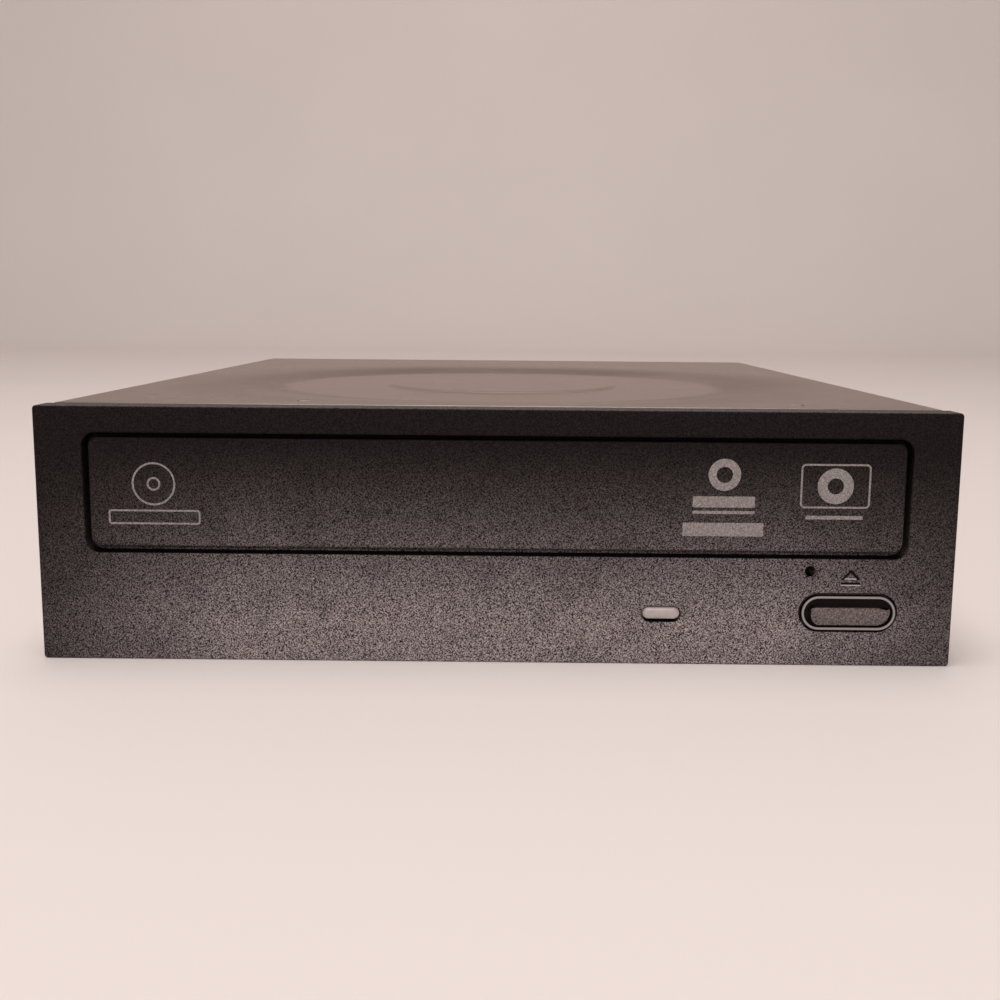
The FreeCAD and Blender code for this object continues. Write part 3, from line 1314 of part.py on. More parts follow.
def make_pickup_cover(y):
    """The thin cap over the lens drive."""
    shell = box("cap_outer", (-11, 11), (y - 8, y + 10), (23.5, 28.4))
    hollow = box("cap_inner", (-10.5, 10.5), (y - 7.5, y + 9.5), (23.4, 27.9))
    window = box("cap_window", (-5, 5), (y - 4.6, y + 6.2), (27.5, 29))
    keep_tilted(cut("pickup_cap", shell, hollow, window), "pickup_cover")


def make_rack_nut(y):
    """The arm that follows the lead screw."""
    foot = box("nut_foot", (13, 21), (y + 2, y + 14), (13.2, 14.5))
    arm = box("nut_arm", (13, S.screw_x + 4), (y + 2, y + 14), (12, 13.6))
    fence = box("nut_fence", (S.screw_x + 2.8, S.screw_x + 4), (y + 2, y + 14), (12, 19))
    across, teeth = (S.screw_x - 1.2, S.screw_x + 1.2), []
    for step in range(4):
        low = y + 3 + 3 * step
        teeth.append(box(f"nut_tooth_{step}", across, (low, low + 1), (13.5, 14.15)))
    keep_tilted(fuse("rack_nut_whole", foot, arm, fence, *teeth), "rack_nut")


def make_lens():
    """The moving lens and its holder with the drive coils."""
    y = pickup_y
    centre = (0, y)
    block = box("lens_block", (-4, 4), (y - 3.5, y + 5), (25, 27.4))
    rim = cylinder("lens_rim", "z", centre, 2.9, 27.3, 28.1)
    hole = cylinder("lens_hole", "z", centre, 2.1, 24, 29)
    keep_tilted(cut("lens_holder_whole", fuse("lens_holder_blank", block, rim), hole), "lens_holder")
    barrel = cylinder("lens_barrel", "z", centre, 2.1, 27.2, 28.1)
    dome = cone("lens_dome", "z", centre, 2.1, 1.2, 28.1, 28.7)
    keep_tilted(fuse("lens_whole", barrel, dome), "objective_lens")


# Cam

def make_cam_slider():
    """The slide that lifts the unit: two sloped slots, a short rack and the release ramp."""
    cam = body("cam_body")
    rows = (face + S.cam_front, face + S.cam_back)
    slide_low, slide_high = deck_high + 0.3, S.pivot_z + 5.5
    add(cam, "XZ", *rows, rectangle(-44, 40, slide_low, slide_high))
    for sign in (-1, 1):
        remove(cam, "XZ", *rows, cam_slot(sign * S.cam_pin_x))
    rack_left, rack_right = tray_gear_x - 17.12, tray_gear_x + 6
    add(cam, "XZ", face + 34.3, rows[1],
        rectangle(rack_left, rack_right, S.wheel_low - 0.5, wheel_high + 0.5))
    add(cam, "XY", 13.5, 17.5, polygon((38, face + 30), (46, face + 36.4), (46, face + 38), (38, face + 38)))
    teeth = []
    pitch = S.train_module * math.pi
    for step in range(9):
        x = rack_left + 1 + pitch * step
        foot, crest = face + 34.4, face + 32.95
        teeth.append(polygon((x, foot), (x + 1.5, foot), (x + 1, crest), (x + 0.5, crest)))
    add(cam, "XY", S.wheel_low, wheel_high, *teeth)
    return keep(cam, "cam_slider")


def cam_slot(x):
    """A sloped slot: the pin is at its low end at rest and climbs as the slide moves right."""
    half, past = S.cam_slot_half, 2.2
    slope = pin_drop / S.cam_travel
    low_z = S.pivot_z - pin_drop - past * slope
    high_z = S.pivot_z + past * slope
    right, left = x + past, x - S.cam_travel - past
    return polygon((right, low_z - half), (right, low_z + half), (left, high_z + half), (left, high_z - half))


# Boards and connectors

def make_front_board():
    """The small board behind the bezel, with the button's switch, the lamp and the tray switch."""
    board = body("front_board_body")
    add(board, "XY", S.front_board_z, front_board_high, rounded(-13.9, 68, face + 3, face + 34, 1))
    remove(board, "XY", S.front_board_z, front_board_high, circle(case_screw_x, face + S.case_screw_end, 3.9))
    keep(board, "front_board")
    x, z = S.button_x, S.button_z
    low = front_board_high
    plunger_row = face + 2.1
    case = box("switch_case", (x - 3, x + 3), (face + 4.2, face + 8.8), (low, z + 3.2))
    well = cylinder("switch_well", "y", (x, z), 1.25, face + 4, face + 8.2)
    keep(cut("switch_whole", case, well), "eject_switch")
    keep(cylinder("plunger", "y", (x, z), 1.2, plunger_row - 0.2, face + 6.8), "switch_plunger")
    lamp = box("lamp_block", (S.lens_x - 1.8, S.lens_x + 1.8), (face + 3.6, face + 8), (low, S.lens_z + 1.6))
    keep(lamp, "status_lamp")
    limit = box("limit_case", (14, 22), (face + 27, face + 32), (low, 10))
    lever = box("limit_lever", (17, 19), (face + 31.8, face + 34.6), (8, 8.5))
    keep(fuse("limit_whole", limit, lever), "tray_switch")


def make_main_board():
    """The main board with its chips, capacitors and ribbon sockets."""
    board = body("main_board_body")
    end = rear - S.case_wall - 0.5
    half = inner_half - S.main_board_play
    levels = (S.main_board_z, main_board_high)
    add(board, "XY", *levels, rounded(-half, half, face + S.main_board_front, end, 1))
    rear_row = case_screw_rows[1]
    remove(board, "XY", *levels, *[circle(sign * case_screw_x, rear_row, 4) for sign in (-1, 1)])
    keep(board, "main_board")
    high = main_board_high
    keep(box("controller", (-11, 9), (face + 120, face + 140), (high, high + 1.4)), "controller_chip")
    keep(box("driver", (-44, -30), (face + 108, face + 120), (high, high + 1.8)), "motor_driver_chip")
    spots = [(-60, face + 100), (-60, face + 110), (60, face + 112)]
    cans = [cylinder(f"capacitor_{number}", "z", spot, 3.15, high, high + 5.5)
            for number, spot in enumerate(spots)]
    keep(group("capacitors", *cans), "board_capacitors")
    sockets = []
    for name, ends, row, low in (("pickup", (-13, 13), 93, high), ("front", (52.5, 64.5), 93, high),
                                 ("front_board", (52.5, 64.5), 29.5, front_board_high)):
        sockets.append(box(f"socket_{name}", ends, (face + row, face + row + 4), (low, low + 1.8)))
    keep(group("sockets", *sockets), "ribbon_sockets")


def make_rear_connector():
    """The combined data and power plug with its tongues and contact strips."""
    high = main_board_high
    mouth = rear
    deep = mouth - 6
    shell = box("plug_shell", (S.plug_left, S.plug_right), (mouth - 12, mouth), (high, S.plug_high))
    cavities, tongues, strips = [], [], []
    for name, (left, right), count in (("data", (S.data_left, S.data_right), 7),
                                     ("power", (S.power_left, S.power_right), 15)):
        cavities.append(box(f"{name}_cavity", (left, right), (deep, mouth + 1), (7, S.plug_high - 1)))
        tongues.append(box(f"{name}_tongue", (left + 1, right - 0.6), (deep - 0.5, mouth - 0.4), (9.6, 10.8)))
        tongues.append(box(f"{name}_key", (right - 1.5, right - 0.6), (deep - 0.5, mouth - 0.4), (8.2, 9.7)))
        start = (left + right - 1.7 - (count - 1) * S.contact_pitch) / 2 - 0.35
        for step in range(count):
            x = start + S.contact_pitch * step
            strips.append(box(f"{name}_strip_{step}", (x, x + 0.7), (deep, mouth - 0.8), (9.5, 9.6)))
    keep(fuse("plug_whole", cut("plug_block", shell, *cavities), *tongues), "rear_connector")
    keep(group("strips", *strips), "connector_contacts")


def make_ribbons():
    """The flat cables: one to the front board and the pickup's loop."""
    low = front_board_high + 0.5
    flat = box("front_ribbon_run", (53, 64), (face + 33.5, face + 93), (low, low + 0.25))
    keep(flat, "front_ribbon")
    keep(solid_feature("pickup_ribbon_loop", ribbon_shape()), "pickup_ribbon")


def ribbon_shape():
    """The pickup's ribbon in side view: out of its socket, back, and up in a loop to the sled."""
    thick, half_width = 0.25, 10.0
    start, low = float(face) + 97, float(main_board_high) + 0.9
    back, radius = float(face) + 112.0, 1.5
    centre = Vector(0, back, low + radius)

    def edge_set(offset):
        r = radius + offset
        under, over = Vector(0, back, centre.z - r), Vector(0, back, centre.z + r)
        return [
            Part.LineSegment(Vector(0, start, centre.z - r), under),
            Part.Arc(under, Vector(0, back + r, centre.z), over),
            Part.LineSegment(over, Vector(0, start + 12, centre.z + r)),
        ]

    outer, inner = edge_set(thick), edge_set(0.0)
    ends = [Part.LineSegment(outer[0].StartPoint, inner[0].StartPoint),
            Part.LineSegment(outer[2].EndPoint, inner[2].EndPoint)]
    edges = [edge.toShape() for edge in outer + inner + ends]
    outline = Part.Wire(Part.__sortEdges__(edges))
    shape = Part.Face(outline).extrude(Vector(2 * half_width, 0, 0))
    shape.translate(Vector(-half_width, 0, 0))
    return shape


def build_all():
    """Every sub-part in turn."""
    for make in (make_bottom_case, make_top_cover, make_front_bezel, make_lamp_lens, make_eject_button,
                 make_tray_door, make_disc_tray, make_tray_gear, make_pulley_gear, make_motor_pulley,
                 make_loading_motor, make_loading_belt, make_loader_frame, make_clamp_bridge, make_screws,
                 make_clamper, make_traverse_holder, make_traverse_plate, make_dampers, make_guide_rods,
                 make_spindle_motor, make_turntable, make_sled_motor, make_pickup, make_lens,
                 make_cam_slider, make_front_board, make_main_board, make_rear_connector, make_ribbons):
        make()
    doc.recompute()


def check_all():
    """Stops if an object failed or a sub-part has no sound shape."""
    for item in doc.Objects:
        if "Invalid" in item.State or "Error" in item.State:
            raise RuntimeError(f"{item.Name} is {item.State}")
    for part in parts:
        if part.Shape.isNull() or not part.Shape.isValid() or not part.Shape.Solids:
            raise RuntimeError(f"{part.Label} has no sound shape")


def write_all():
    """One file for each sub-part."""
    os.makedirs("parts", exist_ok=True)
    for part in parts:
        part.Shape.exportStep(f"parts/{part.Label}.step")
        print(part.Label, len(part.Shape.Solids), round(part.Shape.Volume, 1))
    print(len(parts), "sub-parts")


build_all()
check_all()
write_all()
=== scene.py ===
"""The looks of an internal disc drive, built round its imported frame, in metres.

+X is to the right seen from the front, +Y runs into the drive and +Z is up.
"""
import json
import math

import bmesh
import bpy
import numpy as np
from bpy.props import FloatProperty, FloatVectorProperty, IntProperty, PointerProperty
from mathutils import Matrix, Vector


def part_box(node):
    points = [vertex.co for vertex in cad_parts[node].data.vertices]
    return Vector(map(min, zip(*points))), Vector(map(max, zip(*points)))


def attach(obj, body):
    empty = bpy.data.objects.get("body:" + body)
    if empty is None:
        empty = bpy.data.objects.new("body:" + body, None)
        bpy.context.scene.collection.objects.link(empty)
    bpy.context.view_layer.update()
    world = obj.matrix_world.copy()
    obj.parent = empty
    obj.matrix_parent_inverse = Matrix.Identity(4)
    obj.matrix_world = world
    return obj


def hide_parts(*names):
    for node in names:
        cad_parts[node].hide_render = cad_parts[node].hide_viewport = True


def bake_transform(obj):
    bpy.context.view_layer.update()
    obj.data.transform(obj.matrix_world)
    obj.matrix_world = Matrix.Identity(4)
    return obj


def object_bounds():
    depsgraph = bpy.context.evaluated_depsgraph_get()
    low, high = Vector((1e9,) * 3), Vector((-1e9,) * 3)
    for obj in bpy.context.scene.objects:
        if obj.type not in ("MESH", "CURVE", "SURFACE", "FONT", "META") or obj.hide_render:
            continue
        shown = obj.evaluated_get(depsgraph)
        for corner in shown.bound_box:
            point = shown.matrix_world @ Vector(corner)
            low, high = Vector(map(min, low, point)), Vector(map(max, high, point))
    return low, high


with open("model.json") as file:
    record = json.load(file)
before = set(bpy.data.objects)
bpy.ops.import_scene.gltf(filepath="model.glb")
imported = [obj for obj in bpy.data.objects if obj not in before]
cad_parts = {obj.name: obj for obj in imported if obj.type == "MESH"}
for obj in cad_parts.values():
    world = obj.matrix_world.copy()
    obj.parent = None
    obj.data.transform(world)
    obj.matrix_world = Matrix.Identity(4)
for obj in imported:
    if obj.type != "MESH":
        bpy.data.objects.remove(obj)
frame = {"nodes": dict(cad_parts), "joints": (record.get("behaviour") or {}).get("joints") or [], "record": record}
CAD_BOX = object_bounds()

bl_info = {
    "name": "Disc Drive Looks",
    "version": (1, 0, 0),
    "blender": (4, 5, 0),
    "location": "View3D > Sidebar > Drive",
    "description": "Builds the finish and the fine pieces of an internal disc drive",
    "category": "Object",
}

MM = 0.001
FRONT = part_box("front_bezel")[0].y
SCREW_SIDES = 48
SCREW_DOME = 0.45 * MM
# How much of each colour the plated sheet mirrors at low angles: duller and warmer than a mirror
STEEL_AT_LOW_ANGLES = (0.67, 0.59, 0.555, 1.0)


def length(name, description, default):
    """A size in metres that a user may change."""
    return FloatProperty(name=name, description=description, default=default, min=0.0, unit="LENGTH",
                         subtype="DISTANCE", precision=5)


def colour(name, description, default):
    """A colour that a user may change."""
    return FloatVectorProperty(name=name, description=description, default=default, size=3, min=0.0, max=1.0,
                               subtype="COLOR")


class DriveSizes(bpy.types.PropertyGroup):
    """Sizes of the fine pieces."""

    button_lip: length("Button lip", "Width of the round lip about the button's hollow", 0.50 * MM)
    button_hollow: length("Button hollow", "Depth of the button's hollow", 1.05 * MM)
    button_slope: length("Button slope", "Width of the hollow's upper slope", 1.95 * MM)
    button_side: length("Button side", "Width of the hollow's left slope", 1.6 * MM)
    lamp_width: length("Lamp width", "Width of the lamp's lens", 6.05 * MM)
    lamp_height: length("Lamp height", "Height of the lamp's lens", 1.95 * MM)
    lamp_rise: length("Lamp rise", "How far the lens sits above the middle of its slot", 0.1 * MM)
    lamp_bulge: length("Lamp bulge", "How far the middle of the lamp's lens stands out", 0.12 * MM)
    print_thickness: length("Print thickness", "Thickness of the ink on the tray's door", 0.02 * MM)
    print_line: length("Print line", "Width of the drawn lines on the tray's door", 0.3 * MM)
    screw_head: length("Screw head", "Radius of the case screws' heads", 2.7 * MM)
    screw_cross: length("Screw cross", "Half the width of a slot of the screws' cross", 0.42 * MM)
    thread_pitch: length("Thread pitch", "Travel of the sled for one turn of its screw", 3.0 * MM)
    chip_length: length("Chip part length", "Length of the smallest parts on the boards", 1.6 * MM)
    grain: length("Grain", "Size of the grain on the moulded front", 0.23 * MM)
    sign_middle: length("Sign middle", "Place of the eject sign to the right of the middle", 57.3 * MM)
    sign_half: length("Sign half", "Half the width of the eject sign", 1.6 * MM)
    sign_depth: length("Sign depth", "Depth of the sign's engraving", 0.15 * MM)
    # The sign's shaded lines are painted shadow, and its pale lines are painted highlights.
    sign_line: length("Sign line", "Width of the shaded lines in the eject sign", 0.40 * MM)
    sign_highlight: length("Sign edge", "Width of the pale lines in the eject sign", 0.17 * MM)


class DriveColours(bpy.types.PropertyGroup):
    """Colours of the main finishes."""

    front_dark: colour("Front, low", "Between the grains of the moulded front", (0.003, 0.002, 0.002))
    # Front, high and Front, top are painted light and painted shade: brighter grains near the lower edge stand in
    # for the floor's reflection, darker grains near the upper edge and the ends stand in for shade.
    front_painted_light: colour("Front, high", "On the grains near the front's lower edge", (0.44, 0.37, 0.37))
    front_painted_shade: colour("Front, top", "On the grains near the front's upper edge", (0.014, 0.010, 0.010))
    steel: colour("Steel", "Plated sheet of the case and the lid", (0.50, 0.455, 0.43))
    lamp: colour("Lamp", "Milky lens of the lamp", (0.33, 0.285, 0.28))
    ink: colour("Ink", "Print on the tray's door", (0.17, 0.145, 0.14))
    # Dust with a painted sheen on the front's top face, standing in for the plastic's sheen at low angles.
    dust_and_sheen: colour("Dust", "Settled on the grains of the front's top face", (0.12, 0.105, 0.098))
    solder_mask: colour("Solder mask", "Lacquer of the boards", (0.014, 0.13, 0.055))
    floor: colour("Floor", "Floor and backdrop", (0.80, 0.745, 0.72))


# Meshes

def quads_of(rows, columns, loop_rows=False, loop_columns=False):
    """Corner numbers of the cells of a grid, rows by columns, with either way joined round."""
    row = np.arange(rows if loop_rows else rows - 1)
    column = np.arange(columns if loop_columns else columns - 1)
    i, j = np.meshgrid(row, column, indexing="ij")
    i_next, j_next = (i + 1) % rows, (j + 1) % columns
    corners = (i * columns + j, i * columns + j_next, i_next * columns + j_next, i_next * columns + j)
    return np.stack(corners, axis=-1).reshape(-1, 4)


def sheet(points, loop_rows=False, loop_columns=False):
    """A grid of points as (points, cells)."""
    rows, columns = points.shape[:2]
    return points.reshape(-1, 3), quads_of(rows, columns, loop_rows, loop_columns)


def join(*surfaces):
    """Several (points, cells) as one."""
    starts = np.cumsum([0] + [len(points) for points, _ in surfaces[:-1]])
    points = np.concatenate([points for points, _ in surfaces])
    cells = np.concatenate([cells + start for (_, cells), start in zip(surfaces, starts)])
    return points, cells


def repeat(surface, offsets):
    """Copies of one (points, cells) at each offset."""
    points, cells = surface
    offsets = np.asarray(offsets, float).reshape(-1, 1, 3)
    many = (points[None] + offsets).reshape(-1, 3)
    steps = np.arange(len(offsets)).reshape(-1, 1, 1) * len(points)
    return many, (cells[None] + steps).reshape(-1, 4)


def add_piece(name, surface, body, slot, replaces=(), smooth_angle=40.0, material=None):
    """A mesh object whose doubles are merged and whose faces point outwards, in its slot's finish where no
    material is given. It rides on its body, or on no body where the body is None."""
    points, cells = surface
    mesh = bpy.data.meshes.new(name)
    mesh.from_pydata(points.tolist(), [], cells.tolist())
    work = bmesh.new()
    work.from_mesh(mesh)
    bmesh.ops.remove_doubles(work, verts=work.verts, dist=1e-7)
    bmesh.ops.dissolve_degenerate(work, edges=work.edges, dist=1e-7)
    bmesh.ops.recalc_face_normals(work, faces=work.faces)
    work.to_mesh(mesh)
    work.free()
    mesh.shade_smooth()
    mesh.set_sharp_from_angle(angle=math.radians(smooth_angle))
    piece = bpy.data.objects.new(name, mesh)
    bpy.context.scene.collection.objects.link(piece)
    mesh.materials.append(material or finish_named(slot))
    if body is not None:
        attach(piece, body)
    if replaces:
        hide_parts(*replaces)
    return piece


def outline(half_width, half_height, radius, corner=10, straight=6):
    """A rounded rectangle about the origin as (x, z) rows: four quarter circles and four straight sides."""
    turn = np.linspace(0, math.pi / 2, corner)
    run = np.linspace(0, 1, straight, endpoint=False)[1:]
    wide, tall = max(half_width - radius, 0.0), max(half_height - radius, 0.0)
    corners = []
    for step, (x, z) in enumerate(((wide, tall), (-wide, tall), (-wide, -tall), (wide, -tall))):
        angle = turn + step * math.pi / 2
        corners.append(np.stack((x + radius * np.cos(angle), z + radius * np.sin(angle)), axis=-1))
    rows = []
    for here, following in zip(corners, corners[1:] + corners[:1]):
        rows += [here, here[-1] + run[:, None] * (following[0] - here[-1])]
    return np.concatenate(rows)


def stacked(half_width, half_height, radius, profile, centre):
    """Rings of a rounded rectangle in X and Z, drawn in by each inset of the profile and set at its Y."""
    rings = []
    for inset, y in profile:
        inset = min(inset, half_width, half_height)
        ring = outline(half_width - inset, half_height - inset, max(radius - inset, 0.0))
        rings.append(np.column_stack((ring[:, 0] + centre[0], np.full(len(ring), y), ring[:, 1] + centre[1])))
    return np.stack(rings)


def slab(half_width, half_height, radius, back, front, centre):
    """A solid rounded rectangle between two Ys, closed where its ends are drawn in to a line."""
    full = min(half_width, half_height)
    profile = [(full, back), (0.0, back), (0.0, front), (full, front)]
    return sheet(stacked(half_width, half_height, radius, profile, centre), loop_columns=True)


def rounding(inset, y, radius, steps=5):
    """A quarter round of a profile from a side wall to a front face: insets and Ys on a circle's arc."""
    turns = np.linspace(0, math.pi / 2, steps)
    return [(inset + radius * (1 - math.cos(turn)), y + radius * (1 - math.sin(turn))) for turn in turns]


def full_turn(steps):
    """Angles once round, in steps that are all equal."""
    return np.linspace(0, 2 * math.pi, steps, endpoint=False)


def front_centre(low, high):
    """The middle of a box seen from the front, as X and Z."""
    return (low.x + high.x) / 2, (low.z + high.z) / 2


def smooth(value):
    """An S-shaped rise from 0 to 1 with level ends: 3t squared less 2t cubed."""
    value = np.clip(value, 0, 1)
    return value * value * (3 - 2 * value)


# Materials

class Finish:
    """A material with its patterns on the object's own coordinates."""

    def __init__(self, name, colour, roughness, metallic=0.0, **sockets):
        self.material = bpy.data.materials.new(name)
        self.material.use_nodes = True
        self.tree = self.material.node_tree
        self.shader = self.tree.nodes["Principled BSDF"]
        self.shader.inputs["Base Color"].default_value = (*colour, 1)
        self.shader.inputs["Roughness"].default_value = roughness
        self.shader.inputs["Metallic"].default_value = metallic
        for socket, value in sockets.items():
            self.shader.inputs[socket.replace("_", " ")].default_value = value
        self.place = self.tree.nodes.new("ShaderNodeTexCoord")
        self.normal = None

    def link(self, output, socket):
        """Joins an output to an input socket."""
        self.tree.links.new(output, socket)

    def mapped(self, stretch=(1, 1, 1), turn=(0, 0, 0)):
        """Object coordinates, stretched and turned."""
        node = self.tree.nodes.new("ShaderNodeMapping")
        node.inputs["Scale"].default_value = stretch
        node.inputs["Rotation"].default_value = turn
        self.link(self.place.outputs["Object"], node.inputs["Vector"])
        return node.outputs["Vector"]

    def noise(self, size, detail=2.0, stretch=(1, 1, 1), rough=0.5, turn=(0.4, 0.6, 0.3)):
        """Noise whose lumps are about that many metres across, turned off the axes."""
        node = self.tree.nodes.new("ShaderNodeTexNoise")
        node.inputs["Scale"].default_value = 1 / size
        node.inputs["Detail"].default_value = detail
        node.inputs["Roughness"].default_value = rough
        self.link(self.mapped(stretch, turn), node.inputs["Vector"])
        return node.outputs["Fac"]

    def along(self, axis):
        """The place on one axis, in metres."""
        node = self.tree.nodes.new("ShaderNodeSeparateXYZ")
        self.link(self.place.outputs["Object"], node.inputs["Vector"])
        return node.outputs[axis]

    def facing(self, axis):
        """How far the surface faces along one axis, from -1 to 1."""
        node = self.tree.nodes.new("ShaderNodeSeparateXYZ")
        self.link(self.place.outputs["Normal"], node.inputs["Vector"])
        return node.outputs[axis]

    def reach(self, centre, axes=(1, 1, 0)):
        """The distance in metres from a point, along the axes that are 1: by default from a vertical line."""
        flat = self.tree.nodes.new("ShaderNodeMapping")
        flat.inputs["Location"].default_value = [-place * axis for place, axis in zip(centre, axes)]
        flat.inputs["Scale"].default_value = axes
        node = self.tree.nodes.new("ShaderNodeVectorMath")
        node.operation = "LENGTH"
        self.link(self.place.outputs["Object"], flat.inputs["Vector"])
        self.link(flat.outputs["Vector"], node.inputs[0])
        return node.outputs["Value"]

    def cells(self, size, stretch=(1, 1, 1), feature="F1"):
        """Distance to scattered points about that many metres apart."""
        node = self.tree.nodes.new("ShaderNodeTexVoronoi")
        node.feature = feature
        node.inputs["Scale"].default_value = 1 / size
        self.link(self.mapped(stretch), node.inputs["Vector"])
        return node.outputs["Distance"]

    def bands(self, size, direction):
        """Smooth bands across an axis, that many metres apart."""
        node = self.tree.nodes.new("ShaderNodeTexWave")
        node.bands_direction = direction
        node.inputs["Scale"].default_value = math.pi / (10 * size)
        self.link(self.mapped(), node.inputs["Vector"])
        return node.outputs["Fac"]

    def ranged(self, source, low, high, start=0.3, end=0.7):
        """A value spread from low to high while the source goes from start to end."""
        node = self.tree.nodes.new("ShaderNodeMapRange")
        for socket, value in (("From Min", start), ("From Max", end), ("To Min", low), ("To Max", high)):
            node.inputs[socket].default_value = value
        self.link(source, node.inputs["Value"])
        return node.outputs["Result"]

    def power(self, source, exponent):
        """A value raised to a power, which bends a straight fade."""
        node = self.tree.nodes.new("ShaderNodeMath")
        node.operation = "POWER"
        node.inputs[1].default_value = exponent
        self.link(source, node.inputs[0])
        return node.outputs[0]

    def roughen(self, source, low, high, start=0.3, end=0.7):
        """Roughness that follows a pattern."""
        self.link(self.ranged(source, low, high, start, end), self.shader.inputs["Roughness"])

    def mixed(self, source, low, high, start=0.3, end=0.7):
        """A colour, or a colour's output, between two, as a pattern goes from start to end."""
        node = self.tree.nodes.new("ShaderNodeMix")
        node.data_type = "RGBA"
        first, second, result = node.inputs[6], node.inputs[7], node.outputs[2]
        self.link(self.ranged(source, 0, 1, start, end), node.inputs["Factor"])
        for socket, value in ((first, low), (second, high)):
            if isinstance(value, bpy.types.NodeSocket):
                self.link(value, socket)
            else:
                socket.default_value = (*value, 1)
        return result

    def tint(self, source, low, high, start=0.3, end=0.7):
        """Base colour that follows a pattern."""
        self.link(self.mixed(source, low, high, start, end), self.shader.inputs["Base Color"])

    def mottle(self, source, colour, spread, start=0.3, end=0.7):
        """Base colour that follows a pattern, from a share darker than one colour to a share lighter."""
        darker = tuple(tone * (1 - spread) for tone in colour)
        lighter = tuple(min(tone * (1 + spread), 1.0) for tone in colour)
        self.tint(source, darker, lighter, start, end)

    def relief(self, source, height, strength=1.0):
        """Small hills and hollows of that height in metres."""
        node = self.tree.nodes.new("ShaderNodeBump")
        node.inputs["Strength"].default_value = strength
        node.inputs["Distance"].default_value = height
        self.link(source, node.inputs["Height"])
        if self.normal is not None:
            self.link(self.normal, node.inputs["Normal"])
        self.normal = node.outputs["Normal"]
        self.link(self.normal, self.shader.inputs["Normal"])


def joint_named(name):
    """A joint of the frame."""
    return next(joint for joint in frame["joints"] if joint["name"] == name)


def textured_black(name, sizes, colours):
    """Spark-eroded moulding: fine bright grains on a near-black ground. Painted light brightens the grains towards
    the lower edge, standing in for the floor's reflection, and painted shade dulls them towards the upper edge and
    the ends. Dust with a painted sheen lies on the grains of the top face, and ledges lower down are painted dark
    as shade."""
    finish = Finish(name, colours.front_dark, 0.5, Specular_IOR_Level=0.05)
    grain = finish.noise(sizes.grain, 3.0, rough=0.65)
    blotch = finish.noise(sizes.grain * 30, 3.0)
    bezel_low, bezel_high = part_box("front_bezel")
    brightest, darkest = bezel_low.z + 7 * MM, bezel_high.z - 5 * MM
    # Painted light rising towards the lower edge, and painted shade towards the upper edge.
    rise = finish.ranged(finish.along("Z"), 0.88, 0, brightest, darkest)
    light = finish.mixed(finish.power(rise, 1.55), colours.front_painted_shade, colours.front_painted_light, 0, 1)
    light = finish.mixed(blotch, light, colours.front_painted_shade, 0.5, 1.4)
    # Painted shade towards both ends of the front.
    from_middle = finish.reach((3 * MM, 0, 0), (1, 0, 0))
    light = finish.mixed(from_middle, light, colours.front_painted_shade, bezel_high.x * 0.58, bezel_high.x * 1.15)
    grained = finish.mixed(grain, colours.front_dark, light, 0.40, 0.64)
    # Dust with a painted sheen on the top face's grains.
    dust_and_sheen_grains = finish.mixed(grain, colours.front_dark, colours.dust_and_sheen, 0.36, 0.60)
    # Upward faces lower down are ledges, painted dark as shade; only the top face gets the dust and the painted
    # sheen.
    ledge_shade_end, top_face_start = bezel_high.z - 3 * MM, bezel_high.z - 2 * MM
    top_dust_sheen_and_ledge_shade = finish.mixed(finish.along("Z"), colours.front_dark, dust_and_sheen_grains, ledge_shade_end, top_face_start)
    finish.tint(finish.facing("Z"), grained, top_dust_sheen_and_ledge_shade, 0.55, 0.95)
    finish.roughen(grain, 0.62, 0.38)
    finish.relief(grain, 0.10 * MM)
    return finish.material


def plated_steel(name, sizes, colours):
    """Plated sheet: fine rolling lines along the case and soft blotches."""
    finish = Finish(name, colours.steel, 0.36, metallic=1.0, Specular_Tint=STEEL_AT_LOW_ANGLES)
    finish.mottle(finish.noise(26 * MM, 4.0), colours.steel, 0.08)
    rolled(finish)
    return finish.material


def rolled(finish):
    """The skin of rolled and plated sheet: fine lines along the case and a slight grain."""
    finish.roughen(finish.noise(16 * MM, 2.0), 0.27, 0.33)
    finish.relief(finish.noise(0.5 * MM, 3.0, stretch=(1, 0.02, 1), turn=(0, 0, 0)), 0.002 * MM, 0.3)
    finish.relief(finish.noise(0.25 * MM, 1.0), 0.001 * MM, 0.3)


def lid_steel(name, sizes, colours):
    """The lid's plated sheet: even in the dish, with painted shade in a soft, blotchy ring about it that stands in
    for the darker reflection on the dish's slope, and slighter painted shade out towards the edges.
    """
    finish = Finish(name, colours.steel, 0.3, metallic=1.0, Specular_Tint=STEEL_AT_LOW_ANGLES)
    base = tuple(colours.steel)
    # Painted shade: a soft, blotchy darker ring over the dish's slope, and slightly darker steel towards the
    # edges.
    ring_shade_dark, ring_shade_light, edge = (tuple(tone * share for tone in base) for share in (0.58, 0.80, 0.92))
    reach = finish.reach(joint_named("clamper_spin")["pos_m"])
    ring_shade = finish.mixed(finish.noise(34 * MM, 2.0), ring_shade_dark, ring_shade_light, 0.35, 0.65)
    ring = finish.mixed(reach, base, ring_shade, 45 * MM, 48 * MM)
    finish.tint(reach, ring, edge, 56 * MM, 74 * MM)
    rolled(finish)
    return finish.material


def moulded(name, colour, roughness, grain=0.35 * MM, height=0.03 * MM, spread=0.12, **sockets):
    """Moulded plastic with a fine matt grain and slight unevenness of colour."""
    finish = Finish(name, colour, roughness, **sockets)
    finish.mottle(finish.noise(14 * MM, 3.0), colour, spread)
    fine = finish.noise(grain, 2.0)
    finish.roughen(fine, roughness * 0.85, min(roughness * 1.15, 1.0))
    finish.relief(fine, height, 0.6)
    return finish.material


